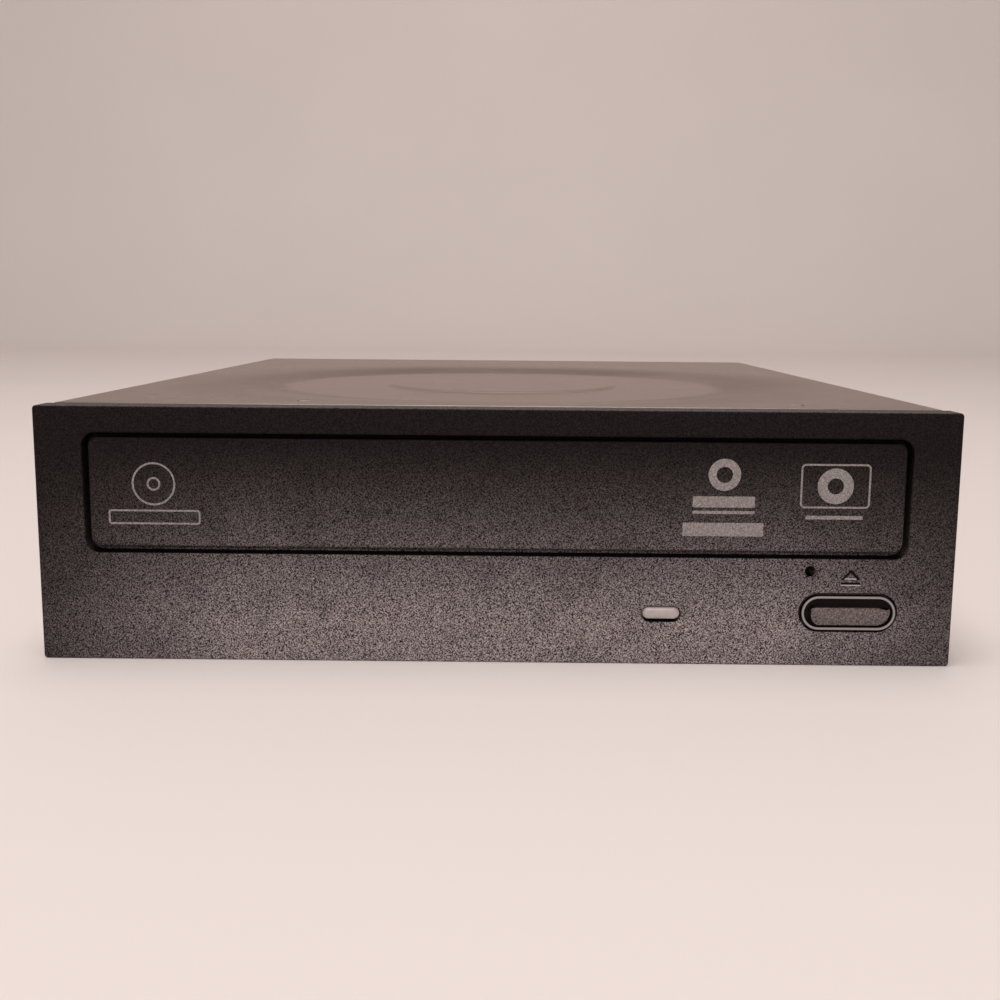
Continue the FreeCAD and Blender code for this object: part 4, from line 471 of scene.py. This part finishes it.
def metal(name, colour, roughness, along="Y", lines=0.25 * MM, height=0.003 * MM):
    """Turned, drawn or ground metal, with fine lines one way."""
    finish = Finish(name, colour, roughness, metallic=1.0)
    stretch = tuple(0.04 if axis == along else 1 for axis in "XYZ")
    line = finish.noise(lines, 3.0, stretch=stretch)
    finish.mottle(finish.noise(8 * MM, 3.0), colour, 0.1)
    finish.roughen(line, roughness * 0.8, roughness * 1.3)
    finish.relief(line, height, 0.5)
    return finish.material


def circuit_board(name, sizes, colours):
    """Lacquered board: a net of lighter lines for its copper tracks, under a glossy solder mask."""
    mask = tuple(colours.solder_mask)
    finish = Finish(name, mask, 0.3, Coat_Weight=0.3)
    tracks = finish.cells(5 * MM, stretch=(1, 1.6, 1), feature="DISTANCE_TO_EDGE")
    lighter = tuple(tone * 1.9 + 0.004 for tone in mask)
    finish.tint(tracks, lighter, mask, 0.03, 0.06)
    finish.roughen(finish.noise(3 * MM, 2.0), 0.24, 0.38)
    finish.relief(tracks, 0.02 * MM, 0.5)
    return finish.material


def ribbon(name):
    """Flat cable: pale film over parallel tinned conductors along Y."""
    finish = Finish(name, (0.75, 0.77, 0.8), 0.3)
    wires = finish.bands(1.0 * MM, "X")
    finish.tint(wires, (0.82, 0.84, 0.86), (0.42, 0.44, 0.47), 0.55, 0.75)
    finish.relief(wires, 0.05 * MM, 0.5)
    return finish.material


def windings(name):
    """Laminated core with enamelled copper in its slots."""
    finish = Finish(name, (0.55, 0.26, 0.12), 0.3, metallic=1.0)
    turns = finish.bands(0.25 * MM, "Z")
    finish.tint(turns, (0.30, 0.12, 0.05), (0.72, 0.36, 0.18), 0.2, 0.8)
    finish.relief(turns, 0.08 * MM, 0.8)
    return finish.material


def cast_alloy(name):
    """Die-cast alloy, as cast: a pebbled grey skin."""
    finish = Finish(name, (0.42, 0.42, 0.43), 0.5, metallic=1.0)
    pebbles = finish.cells(0.5 * MM)
    finish.tint(finish.noise(6 * MM, 4.0), (0.34, 0.34, 0.35), (0.50, 0.50, 0.51))
    finish.roughen(pebbles, 0.42, 0.62)
    finish.relief(pebbles, 0.03 * MM, 0.6)
    return finish.material


def coated_lens(name):
    """Clear moulded lens with a violet coating."""
    finish = Finish(name, (0.62, 0.52, 0.86), 0.06, Transmission_Weight=0.6, Coat_Weight=1.0)
    finish.roughen(finish.noise(0.4 * MM, 2.0), 0.04, 0.09)
    return finish.material


def print_ink(name, sizes, colours):
    """Pad-printed ink that lies over the grain: flat pale grey, a little worn."""
    ink = tuple(colours.ink)
    finish = Finish(name, ink, 0.55)
    grain = finish.noise(sizes.grain, 3.0, rough=0.6)
    finish.mottle(grain, ink, 0.4, 0.40, 0.62)
    finish.relief(grain, 0.08 * MM, 0.8)
    return finish.material


def milky_lens(name, sizes, colours):
    """Milky light guide: soft scatter under a faint gloss."""
    milk = tuple(colours.lamp)
    finish = Finish(name, milk, 0.32, Subsurface_Weight=0.25, Subsurface_Scale=0.6 * MM)
    finish.mottle(finish.noise(1.5 * MM, 2.0), milk, 0.06)
    finish.roughen(finish.noise(0.3 * MM, 2.0), 0.26, 0.4)
    return finish.material


def polished_black(name, sizes, colours):
    """The button: a polished lip whose crown carries a painted highlight, walls painted near-black as shadow and a
    finely grained floor.
    """
    finish = Finish(name, (0.020, 0.018, 0.018), 0.16, Specular_IOR_Level=0.08)
    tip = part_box("eject_button")[0].y
    floor = tip + sizes.button_hollow
    depth, grain = finish.along("Y"), finish.noise(sizes.grain, 3.0, rough=0.6)
    # Painted highlight on the lip's crown, fading to walls painted near-black as the hollow's shadow.
    wall = finish.mixed(depth, (0.26, 0.235, 0.225), (0.002, 0.001, 0.001), tip, tip + 0.16 * MM)
    grained = finish.mixed(grain, (0.05, 0.040, 0.040), (0.19, 0.155, 0.15), 0.38, 0.64)
    floor_start, floor_end = floor - 0.06 * MM, floor - 0.01 * MM
    finish.tint(depth, wall, grained, floor_start, floor_end)
    finish.roughen(depth, 0.20, 0.50, floor_start, floor_end)
    finish.relief(grain, 0.02 * MM, 0.6)
    return finish.material


def plain(make, *values, **options):
    """A finish that needs neither the sizes nor the colours."""
    return lambda name, sizes, colours: make(name, *values, **options)


FINISHES = {
    "plated_steel": plated_steel,
    "lid_steel": lid_steel,
    "black_textured": textured_black,
    "button_black": polished_black,
    "lamp_milky": milky_lens,
    "frame_black": plain(moulded, (0.022, 0.022, 0.024), 0.5),
    "tray_black": plain(moulded, (0.020, 0.020, 0.021), 0.46, grain=0.3 * MM),
    "gear_white": plain(moulded, (0.72, 0.70, 0.64), 0.34, height=0.008 * MM, spread=0.04,
                        Subsurface_Weight=0.15, Subsurface_Scale=1.0 * MM),
    "bright_steel": plain(metal, (0.62, 0.61, 0.60), 0.24),
    "board_green": circuit_board,
    "chip_black": plain(moulded, (0.016, 0.016, 0.017), 0.55, grain=0.12 * MM),
    "capacitor_alloy": plain(metal, (0.72, 0.72, 0.74), 0.3, along="Z"),
    "black_rubber": plain(moulded, (0.018, 0.018, 0.018), 0.8, grain=0.2 * MM),
    "gilt_contact": plain(metal, (0.83, 0.60, 0.24), 0.22),
    "grey_magnet": plain(metal, (0.30, 0.30, 0.31), 0.34, lines=0.5 * MM),
    "lens_clear": plain(coated_lens),
    "ivory_plastic": plain(moulded, (0.66, 0.63, 0.55), 0.42, spread=0.05),
    "ribbon_white": plain(ribbon),
    "socket_black": plain(moulded, (0.014, 0.014, 0.014), 0.38, height=0.012 * MM),
    "copper_winding": plain(windings),
    "housing_alloy": plain(cast_alloy),
}


def finish_named(slot):
    """The slot's material, made once."""
    label = slot + "_finish"
    if label not in bpy.data.materials:
        scene = bpy.context.scene
        FINISHES[slot](label, scene.drive_sizes, scene.drive_colours)
    return bpy.data.materials[label]


# Pieces

class DRIVE_OT_finishes(bpy.types.Operator):
    """Gives every carried-over piece the finish of its slot"""

    bl_idname = "drive.finishes"
    bl_label = "Finish carried-over pieces"

    def execute(self, context):
        slots = {part["node"]: part["material_slot"] for part in frame["record"]["subparts"]}
        for name, piece in frame["nodes"].items():
            material = finish_named("lid_steel" if name == "top_cover" else slots[name])
            for holder in piece.material_slots:
                holder.material = material
        return {"FINISHED"}


class DRIVE_OT_button(bpy.types.Operator):
    """Makes the eject button: a polished rim round a hollow that slopes down from its upper edge"""

    bl_idname = "drive.button"
    bl_label = "Eject button"

    def execute(self, context):
        sizes = context.scene.drive_sizes
        low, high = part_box("eject_button")
        flange_x, flange_z = 1.0 * MM, 0.8 * MM
        half_width, half_height = (high.x - low.x) / 2 - flange_x, (high.z - low.z) / 2 - flange_z
        centre = front_centre(low, high)
        tip = low.y
        seat = FRONT + 2.7 * MM
        back = seat + 0.9 * MM
        lip = sizes.button_lip / 2
        turn = np.linspace(0, math.pi, 13)
        profile = [(0.0, seat), *zip(lip * (1 - np.cos(turn)), tip + lip * (1 - np.sin(turn)))]
        outer = stacked(half_width, half_height, half_height, profile, centre)
        hollow = self.hollow(sizes, half_width, half_height, centre, tip + lip)
        body = sheet(np.concatenate((outer, hollow)), loop_columns=True)
        collar_corner = half_height + flange_z
        collar = slab(half_width + flange_x, collar_corner, collar_corner, back, seat, centre)
        stem_half_width, stem_half_height, stem_corner = 2 * MM, 1.5 * MM, 0.3 * MM
        stem = slab(stem_half_width, stem_half_height, stem_corner, high.y, back, centre)
        add_piece("button_shell", join(body, collar, stem), "button", "button_black", ["eject_button"],
                  smooth_angle=35)
        return {"FINISHED"}

    def hollow(self, sizes, half_width, half_height, centre, start):
        """Rings inwards from the lip. Their depth is an S-curve of the distance from the lip, over a width
        that ends at a level line below the upper lip, grows towards the left end and is small elsewhere."""
        shares = np.concatenate((np.linspace(0, 0.9, 34), np.linspace(0.93, 1, 3)))
        first_inset = sizes.button_lip * 1.01
        insets = first_inset + shares * (half_height - first_inset)
        rings = stacked(half_width, half_height, half_height, [(inset, start) for inset in insets], centre)
        outermost = rings[0]
        straight = half_width - half_height
        x = outermost[:, 0] - centre[0]
        across = x - np.clip(x, -straight, straight)
        up = outermost[:, 2] - centre[1]
        reach = np.hypot(across, up)
        upward, leftward = np.clip(up / reach, 1e-3, 1), np.clip(-across / reach, 0, 1)
        narrow, inner = 0.1 * MM, half_height - sizes.button_lip
        level = inner - (inner - sizes.button_slope) / upward
        aside = sizes.button_side * leftward
        slope = np.maximum(narrow, np.maximum(level, aside))
        depth = smooth((insets[:, None] - sizes.button_lip) / slope[None])
        rings[..., 1] += (sizes.button_hollow - sizes.button_lip / 2) * depth
        return rings


class DRIVE_OT_lamp(bpy.types.Operator):
    """Makes the lamp's lens: a low dome in front of a flange and a light pipe"""

    bl_idname = "drive.lamp"
    bl_label = "Lamp lens"

    def execute(self, context):
        sizes = context.scene.drive_sizes
        low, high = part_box("lamp_lens")
        centre = front_centre(low, high)
        window = (centre[0], centre[1] + sizes.lamp_rise)
        half_width, half_height = sizes.lamp_width / 2, sizes.lamp_height / 2
        seat = FRONT + 2.4 * MM
        back = seat + 0.8 * MM
        rim, rim_level = 0.25 * MM, FRONT + 0.1 * MM + sizes.lamp_bulge
        inset = np.linspace(rim, half_height, 9)
        lift = sizes.lamp_bulge * np.sqrt(1 - ((half_height - inset) / (half_height - rim)) ** 2)
        dome = [(step, rim_level - height) for step, height in zip(inset, lift)]
        edge = rounding(0.0, rim_level, rim)[:-1]
        front = sheet(stacked(half_width, half_height, half_height, [(0.0, seat), *edge, *dome], window),
                      loop_columns=True)
        flange_corner = 1 * MM
        flange = slab(high.x - centre[0], high.z - centre[1], flange_corner, back, seat, centre)
        pipe_half_width, pipe_half_height, pipe_corner = 1.8 * MM, 1.3 * MM, 0.4 * MM
        pipe = slab(pipe_half_width, pipe_half_height, pipe_corner, high.y, back, centre)
        add_piece("lamp_guide", join(front, flange, pipe), "root", "lamp_milky", ["lamp_lens"])
        return {"FINISHED"}


class DRIVE_OT_print(bpy.types.Operator):
    """Prints plain generic signs on the tray's door: rings, bars and a plate, placed in millimetres"""

    bl_idname = "drive.print"
    bl_label = "Door print"

    def execute(self, context):
        sizes = context.scene.drive_sizes
        self.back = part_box("tray_door")[0].y
        self.front = self.back - sizes.print_thickness
        line = sizes.print_line
        left, middle, right = -55.1, 36.4, 54.2
        disc_height, framed_height = 28.7, 29.3
        signs = [
            self.ring(left, disc_height, 3.5, line),
            self.ring(left, disc_height, 1.1, line),
            self.band(left, 23.3, 7.4, 1.2, 0.5, line),
            self.ring(middle, 31.0, 2.6, 1.3 * MM),
            self.plate(middle, 26.6, 5.0, 0.9, 0.2),
            self.plate(middle, 24.9, 5.0, 0.25, 0.1),
            self.plate(middle, 22.1, 6.5, 1.1, 0.15),
            self.ring(right, framed_height, 2.9, 1.6 * MM),
            self.band(right, framed_height, 5.6, 3.6, 0.8, line),
            self.plate(right, 24.2, 4.6, 0.3, 0.1),
        ]
        material = print_ink("door_ink", sizes, context.scene.drive_colours)
        add_piece("door_print", join(*signs), "tray", "lamp_milky", material=material)
        return {"FINISHED"}

    def ring(self, x, z, radius, width):
        """A flat ring: a band whose corners are the whole of it."""
        return self.band(x, z, radius, radius, radius, width)

    def band(self, x, z, half_width, half_height, corner, width):
        """The drawn outline of a rounded rectangle: a closed band between it and the one inside it."""
        profile = [(0.0, self.back), (0.0, self.front), (width, self.front), (width, self.back)]
        rings = stacked(half_width * MM, half_height * MM, corner * MM, profile, (x * MM, z * MM))
        return sheet(rings, loop_rows=True, loop_columns=True)

    def plate(self, x, z, half_width, half_height, corner):
        """A filled rounded rectangle."""
        return slab(half_width * MM, half_height * MM, corner * MM, self.back, self.front, (x * MM, z * MM))


class DRIVE_OT_sign(bpy.types.Operator):
    """Paints light and shade into the engraved eject sign: dark lines as painted shadow under its upper edges and
    pale lines as painted highlights on its lower edges
    """

    bl_idname = "drive.sign"
    bl_label = "Eject sign"

    def execute(self, context):
        sizes = context.scene.drive_sizes
        half, line, edge = sizes.sign_half, sizes.sign_line, sizes.sign_highlight
        apex, foot = 15.8 * MM, 14.1 * MM
        bar_high, bar_low = 13.65 * MM, 13.05 * MM
        drop = line * math.hypot(half, apex - foot) / half
        cut = half * (apex - drop - foot) / (apex - foot)
        slopes = [[(side * half, foot), (0, apex), (0, apex - drop), (side * cut, foot)] for side in (-1, 1)]
        shaded = [*slopes, self.bar(half, bar_high, bar_high - line)]
        lit = [self.bar(cut * 0.9, foot + edge, foot), self.bar(half, bar_low + edge, bar_low)]
        # sign_shade is painted shadow and sign_light is painted highlight, both as thin inlays on the engraving's
        # floor.
        for name, plates, tone in (("sign_shade", shaded, (0.003, 0.002, 0.002)),
                                   ("sign_light", lit, (0.42, 0.37, 0.36))):
            material = moulded(name + "_tone", tone, 0.5, spread=0.2, Specular_IOR_Level=0.05)
            inlays = join(*[self.inlay(corners, sizes) for corners in plates])
            add_piece(name, inlays, "root", "black_textured", material=material)
        return {"FINISHED"}

    def bar(self, half, high, low):
        """The corners of a level bar."""
        return [(-half, high), (half, high), (half, low), (-half, low)]

    def inlay(self, corners, sizes):
        """A thin plate on the engraving's floor: its four corners at two depths, closed at both."""
        flat = np.array(corners)
        clearance, skin = 0.001 * MM, 0.02 * MM
        floor = FRONT + sizes.sign_depth - clearance
        centre = flat.mean(axis=0)
        rings = []
        for size, y in ((0.0, floor), (1.0, floor), (1.0, floor - skin), (0.0, floor - skin)):
            ring = centre + (flat - centre) * size
            rings.append(np.column_stack((ring[:, 0] + sizes.sign_middle, np.full(4, y), ring[:, 1])))
        return sheet(np.stack(rings), loop_columns=True)


class DRIVE_OT_screws(bpy.types.Operator):
    """Makes the four case screws: domed heads with a cross, and their shanks"""

    bl_idname = "drive.screws"
    bl_label = "Case screws"

    def execute(self, context):
        sizes = context.scene.drive_sizes
        low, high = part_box("case_screws")
        radius, bottom = sizes.screw_head, low.z
        top = bottom + 1.3 * MM
        across, along = (low.x + radius, high.x - radius), (low.y + radius, high.y - radius)
        spots = [(x, y, 0.0) for x in across for y in along]
        head = self.head(sizes, radius, bottom)
        turn = full_turn(SCREW_SIDES)
        shank_radius, point_radius, point_length = 1.3 * MM, 0.9 * MM, 0.6 * MM
        walls = [(radius, bottom + SCREW_DOME), (radius, top), (shank_radius, top),
                 (shank_radius, high.z - point_length), (point_radius, high.z), (0.0, high.z)]
        shank = np.stack([np.column_stack((reach * np.cos(turn), reach * np.sin(turn), np.full(len(turn), z)))
                          for reach, z in walls])
        one = join(sheet(head, loop_columns=True), sheet(shank, loop_columns=True))
        add_piece("case_screw_set", repeat(one, spots), "root", "bright_steel", ["case_screws"])
        return {"FINISHED"}

    def head(self, sizes, radius, bottom):
        """Rings of points whose height is a dome, radius by radius, less a cross. The cross is deep where a
        point is near either of two lines through the middle, and fades towards the rim."""
        turn = full_turn(SCREW_SIDES)
        share = np.concatenate((np.linspace(0, 0.62, 15), np.linspace(0.66, 1, 9)))[:, None]
        x, y = share * radius * np.cos(turn), share * radius * np.sin(turn)
        dome = SCREW_DOME * share ** 3 + 0 * x
        near = np.minimum(np.abs(x), np.abs(y))
        inside = 1 - smooth((near - sizes.screw_cross * 0.8) / (sizes.screw_cross * 0.5))
        fade = 1 - smooth((share - 0.45) / 0.14)
        cross_depth = 0.75 * MM
        height = bottom + dome + cross_depth * inside * fade
        return np.stack((x, y, height), axis=-1)


class DRIVE_OT_lead_screw(bpy.types.Operator):
    """Cuts the real thread of the sled's lead screw"""

    bl_idname = "drive.lead_screw"
    bl_label = "Lead screw thread"

    def execute(self, context):
        sizes = context.scene.drive_sizes
        joint = joint_named("lead_screw_spin")
        axis, centre = Vector(joint["axis"]).normalized(), Vector(joint["pos_m"])
        low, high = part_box("lead_screw")
        trim = 0.2 * MM
        start = (low.y - centre.y) / axis.y + trim
        end = (high.y - centre.y) / axis.y - trim
        along, turn = np.meshgrid(np.linspace(start, end, 420), full_turn(28), indexing="ij")
        phase = (along / sizes.thread_pitch - turn / (2 * math.pi)) % 1
        ridge = smooth((phase - 0.02) / 0.12) * (1 - smooth((phase - 0.62) / 0.12))
        first_plain, last_plain, run_out = 1.6 * MM, 1.4 * MM, 0.4 * MM
        begun = smooth((along - start - first_plain) / run_out)
        ended = smooth((along - end + last_plain) / run_out)
        pivot, shoulder = 1.2 * MM, 0.2 * MM
        stepped = smooth((along - end + pivot) / shoulder)
        core, ridge_height, pivot_step = 1.12 * MM, 0.36 * MM, 0.3 * MM
        radius = core + ridge_height * ridge * begun * (1 - ended) - pivot_step * stepped
        radius[0], radius[-1] = 0, 0
        side = np.array([1.0, 0, 0])
        up = np.cross(side, np.array(axis))
        points = (np.array(centre) + along[..., None] * np.array(axis)
                  + (radius * np.cos(turn))[..., None] * side + (radius * np.sin(turn))[..., None] * up)
        add_piece("sled_screw", sheet(points, loop_columns=True), "lead_screw_body", "bright_steel",
                  ["lead_screw"])
        return {"FINISHED"}


class DRIVE_OT_board_parts(bpy.types.Operator):
    """Scatters small ceramic parts over the main board, and sets legs along the chips' sides"""

    bl_idname = "drive.board_parts"
    bl_label = "Board parts"

    count: IntProperty(name="Parts", description="Parts tried on the main board", default=150, min=0)
    seed: IntProperty(name="Seed", description="Start of the random placing", default=11, min=0)

    def execute(self, context):
        sizes = context.scene.drive_sizes
        random = np.random.default_rng(self.seed)
        half = sizes.chip_length / 2
        long, wide, tall = half * 0.9, half * 0.5, half * 0.45
        upright, lying = self.block(wide, long, tall), self.block(long, wide, tall)
        low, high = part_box("main_board")
        taken = [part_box(node) for node in ("controller_chip", "motor_driver_chip", "rear_connector")]
        taken += [self.widened(corner, 5 * MM) for corner in self.crowded()]
        spare = 2 * MM
        side, front, rear, pitch = 4 * MM, 6 * MM, 14 * MM, 2.2 * MM
        spots = random.uniform((low.x + side, low.y + front), (high.x - side, high.y - rear), (self.count, 2))
        spots = np.unique(np.round(spots / pitch) * pitch, axis=0)
        free = np.ones(len(spots), bool)
        for near, far in taken:
            inside = ((spots > np.array(near)[:2] - spare) & (spots < np.array(far)[:2] + spare)).all(axis=1)
            free &= ~inside
        spots = spots[free]
        placed = np.column_stack((spots, np.full(len(spots), high.z + tall)))
        turned = random.random(len(spots)) < 0.5
        body = join(repeat(upright, placed[turned]), repeat(lying, placed[~turned]))
        ceramic = moulded("ceramic", (0.10, 0.07, 0.05), 0.4, spread=0.4)
        add_piece("board_parts", body, "root", "chip_black", material=ceramic)
        tin = metal("tin", (0.68, 0.68, 0.67), 0.28)
        add_piece("chip_legs", self.legs(), "root", "bright_steel", material=tin)
        return {"FINISHED"}

    def crowded(self):
        """Corners of the capacitors and sockets, which share nodes across the boards."""
        for node in ("board_capacitors", "ribbon_sockets"):
            points = np.array([vertex.co for vertex in frame["nodes"][node].data.vertices])
            cell = 8 * MM
            yield from np.unique(np.round(points / cell), axis=0) * cell

    def widened(self, corner, margin):
        """A box of that margin about a point."""
        return Vector(corner) - Vector((margin,) * 3), Vector(corner) + Vector((margin,) * 3)

    def block(self, half_x, half_y, half_z):
        """A small block with round edges: a superellipsoid of power 5, its angles on a coarse grid."""
        tilt, turn = np.meshgrid(np.linspace(-math.pi / 2, math.pi / 2, 7), full_turn(12), indexing="ij")
        power = 2 / 5

        def bent(value):
            return np.sign(value) * np.abs(value) ** power

        level = bent(np.cos(tilt))
        points = np.stack((half_x * level * bent(np.cos(turn)), half_y * level * bent(np.sin(turn)),
                           half_z * bent(np.sin(tilt))), axis=-1)
        return sheet(points, loop_columns=True)

    def legs(self):
        """Gull-wing legs: a flat strip carried out, down and out again, repeated along the chips' sides."""
        parts = []
        first_leg, last_leg, half_thickness = 1.2 * MM, 1.0 * MM, 0.07 * MM
        for node, pitch in (("controller_chip", 0.8 * MM), ("motor_driver_chip", 1.0 * MM)):
            low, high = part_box(node)
            rise, foot = (high.z - low.z) * 0.5, 0.06 * MM
            path = np.array([(0.0, rise), (0.35, rise), (0.55, rise * 0.6), (0.65, foot), (1.1, foot)])
            path[:, 0] *= MM
            for axis, sign in ((0, -1), (0, 1), (1, -1), (1, 1)):
                edge = (high if sign > 0 else low)[axis]
                other = 1 - axis
                run = np.arange(low[other] + first_leg, high[other] - last_leg, pitch)
                strip = self.strip(path, axis, sign, pitch * 0.2, half_thickness)
                offset = np.zeros((len(run), 3))
                offset[:, axis], offset[:, other], offset[:, 2] = edge, run, low.z
                parts.append(repeat(strip, offset))
        return join(*parts)

    def strip(self, path, axis, sign, half_width, half_height):
        """A rectangle carried along the path, which runs out along the axis and up Z."""
        corners = np.array([(-half_width, -half_height), (half_width, -half_height),
                            (half_width, half_height), (-half_width, half_height)])
        points = np.zeros((len(path) + 2, 4, 3))
        middle = np.vstack((path[:1], path, path[-1:]))
        width = np.ones((len(middle), 1))
        width[0], width[-1] = 0, 0
        points[..., axis] = sign * middle[:, :1]
        points[..., 1 - axis] = width * corners[:, 0]
        points[..., 2] = middle[:, 1:] + width * corners[:, 1]
        return sheet(points, loop_columns=True)


class DRIVE_OT_pickup_flex(bpy.types.Operator):
    """Makes the pickup's flat cable in two lengths, a lower run and an upper loop, attached to no body"""

    bl_idname = "drive.pickup_flex"
    bl_label = "Pickup's flat cable"

    def execute(self, context):
        low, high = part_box("pickup_ribbon")
        half_thickness, held, top_gap = 0.125 * MM, 2 * MM, 12 * MM
        half_rise, level = (high.z - low.z) / 2, (low.z + high.z) / 2
        bend, radius = high.y - half_rise, half_rise - half_thickness
        under, over = level - radius, level + radius
        run = np.linspace(low.y, bend, 30)
        turn = np.linspace(-math.pi / 2, math.pi / 2, 40)
        back = np.linspace(bend, low.y + top_gap, 8)[1:]
        lower = np.column_stack((run, np.full(len(run), under)))
        loop = np.column_stack((bend + radius * np.cos(turn), level + radius * np.sin(turn)))
        upper = np.vstack((loop, np.column_stack((back, np.full(len(back), over)))))
        strips = [self.strip(path, high.x, half_thickness) for path in (lower, upper)]
        first = add_piece("pickup_flex_lower", strips[0], None, "ribbon_white", ["pickup_ribbon"])
        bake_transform(first)
        second = add_piece("pickup_flex_upper", strips[1], None, "ribbon_white")
        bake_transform(second)
        return {"FINISHED"}

    def strip(self, path, half_width, half_thickness):
        """A thin rectangle carried square to a path in Y and Z, and drawn in to a point at both ends."""
        ahead = np.gradient(path, axis=0)
        ahead /= np.linalg.norm(ahead, axis=1, keepdims=True)
        outward = np.column_stack((-ahead[:, 1], ahead[:, 0])) * half_thickness
        columns = []
        for side, face in ((-1, -1), (1, -1), (1, 1), (-1, 1)):
            columns.append(np.column_stack((np.full(len(path), side * half_width), path + face * outward)))
        middle = np.column_stack((np.zeros(len(path)), path))
        first, last = (np.broadcast_to(middle[place], (1, 4, 3)) for place in (0, -1))
        return sheet(np.concatenate((first, np.stack(columns, axis=1), last)), loop_columns=True)


class DRIVE_OT_stage(bpy.types.Operator):
    """Makes the floor with its backdrop, the lamps and the camera"""

    bl_idname = "drive.stage"
    bl_label = "Floor, lamps and camera"

    def execute(self, context):
        self.floor(context)
        self.lamps(context)
        self.camera(context)
        return {"FINISHED"}

    def floor(self, context):
        """A floor that turns up into a wall: a level run, a quarter circle and a rise, carried along X."""
        level = CAD_BOX[0].z
        near, bend, radius, top = -6.0, 1.3, 0.5, 3.4
        turn = np.linspace(0, math.pi / 2, 24)
        y = np.concatenate(([near], bend + radius * np.sin(turn), [bend + radius]))
        z = np.concatenate(([0], radius * (1 - np.cos(turn)), [top]))
        across = np.linspace(-6.0, 6.0, 3)
        x, y, z = np.broadcast_arrays(across[None], y[:, None], z[:, None] + level)
        mesh = bpy.data.meshes.new("floor")
        vertices, cells = sheet(np.stack((x, y, z), axis=-1))
        mesh.from_pydata(vertices.tolist(), [], cells[:, ::-1].tolist())
        mesh.shade_smooth()
        floor = bpy.data.objects.new("floor", mesh)
        context.scene.collection.objects.link(floor)
        pale = context.scene.drive_colours.floor
        paint = Finish("floor_paint", pale, 0.7)
        paint.mottle(paint.noise(0.3, 3.0), pale, 0.015)
        mesh.materials.append(paint.material)

    def lamps(self, context):
        """Soft boxes: one overhead, a front fill behind the camera, and one for the backdrop, high enough to
        stay out of the lid's reflections."""
        world = bpy.data.worlds.new("studio") if context.scene.world is None else context.scene.world
        context.scene.world = world
        world.use_nodes = True
        background = world.node_tree.nodes["Background"]
        background.inputs["Color"].default_value = (1.0, 0.93, 0.90, 1)
        background.inputs["Strength"].default_value = 0.32
        near, face, wall = Vector((0, -0.15, 0.0)), Vector((0.005, FRONT, 0.010)), Vector((0, 1.8, 0.25))
        plain, warm = (1.0, 0.94, 0.91), (1.0, 0.83, 0.78)
        for name, place, target, size, power, tone in (
                ("overhead", (-0.12, -0.22, 1.0), near, (0.5, 0.5), 4.6, plain),
                ("front_fill", (0.02, -1.8, 0.55), face, (0.8, 0.5), 20.0, plain),
                ("backdrop", (0.0, 0.55, 2.1), wall, (1.0, 1.0), 9.0, warm)):
            light = bpy.data.lights.new(name, "AREA")
            light.shape, light.size, light.size_y, light.energy = "RECTANGLE", *size, power
            light.color = tone
            lamp = bpy.data.objects.new(name, light)
            lamp.visible_camera = False
            lamp.location = place
            lamp.rotation_euler = (target - Vector(place)).to_track_quat("-Z", "Y").to_euler()
            context.scene.collection.objects.link(lamp)

    def camera(self, context):
        """The photograph's viewing angle: low, square on to the front and just above it."""
        data = bpy.data.cameras.new("camera")
        data.sensor_width, data.lens = 36.0, 41.291
        data.shift_x, data.shift_y = -0.0092, -0.0215
        data.clip_start, data.clip_end = 0.01, 20
        camera = bpy.data.objects.new("camera", data)
        camera.location = (0.0025238, -0.2733234, 0.0567946)
        camera.rotation_euler = tuple(math.radians(angle) for angle in (81.6352, -0.4914, 0.257))
        context.scene.collection.objects.link(camera)
        context.scene.camera = camera
        context.scene.view_settings.view_transform = "Standard"


class DRIVE_PT_panel(bpy.types.Panel):
    """The drive's sizes, colours and pieces"""

    bl_idname = "DRIVE_PT_panel"
    bl_label = "Disc drive"
    bl_space_type = "VIEW_3D"
    bl_region_type = "UI"
    bl_category = "Drive"

    def draw(self, context):
        layout = self.layout
        for group in (context.scene.drive_sizes, context.scene.drive_colours):
            box = layout.box()
            for name in group.__annotations__:
                box.prop(group, name)
        for operator in OPERATORS:
            layout.operator(operator.bl_idname)


OPERATORS = (DRIVE_OT_finishes, DRIVE_OT_button, DRIVE_OT_lamp, DRIVE_OT_print, DRIVE_OT_sign,
             DRIVE_OT_screws, DRIVE_OT_lead_screw, DRIVE_OT_board_parts, DRIVE_OT_pickup_flex,
             DRIVE_OT_stage)
CLASSES = (DriveSizes, DriveColours, *OPERATORS, DRIVE_PT_panel)


def register():
    """Adds the classes and the scene's settings."""
    for item in CLASSES:
        bpy.utils.register_class(item)
    bpy.types.Scene.drive_sizes = PointerProperty(type=DriveSizes)
    bpy.types.Scene.drive_colours = PointerProperty(type=DriveColours)


def unregister():
    """Takes them away again."""
    del bpy.types.Scene.drive_colours
    del bpy.types.Scene.drive_sizes
    for item in reversed(CLASSES):
        bpy.utils.unregister_class(item)


def main():
    """Builds everything."""
    register()
    for operator in OPERATORS:
        group, name = operator.bl_idname.split(".")
        getattr(getattr(bpy.ops, group), name)()


if __name__ == "__main__":
    main()
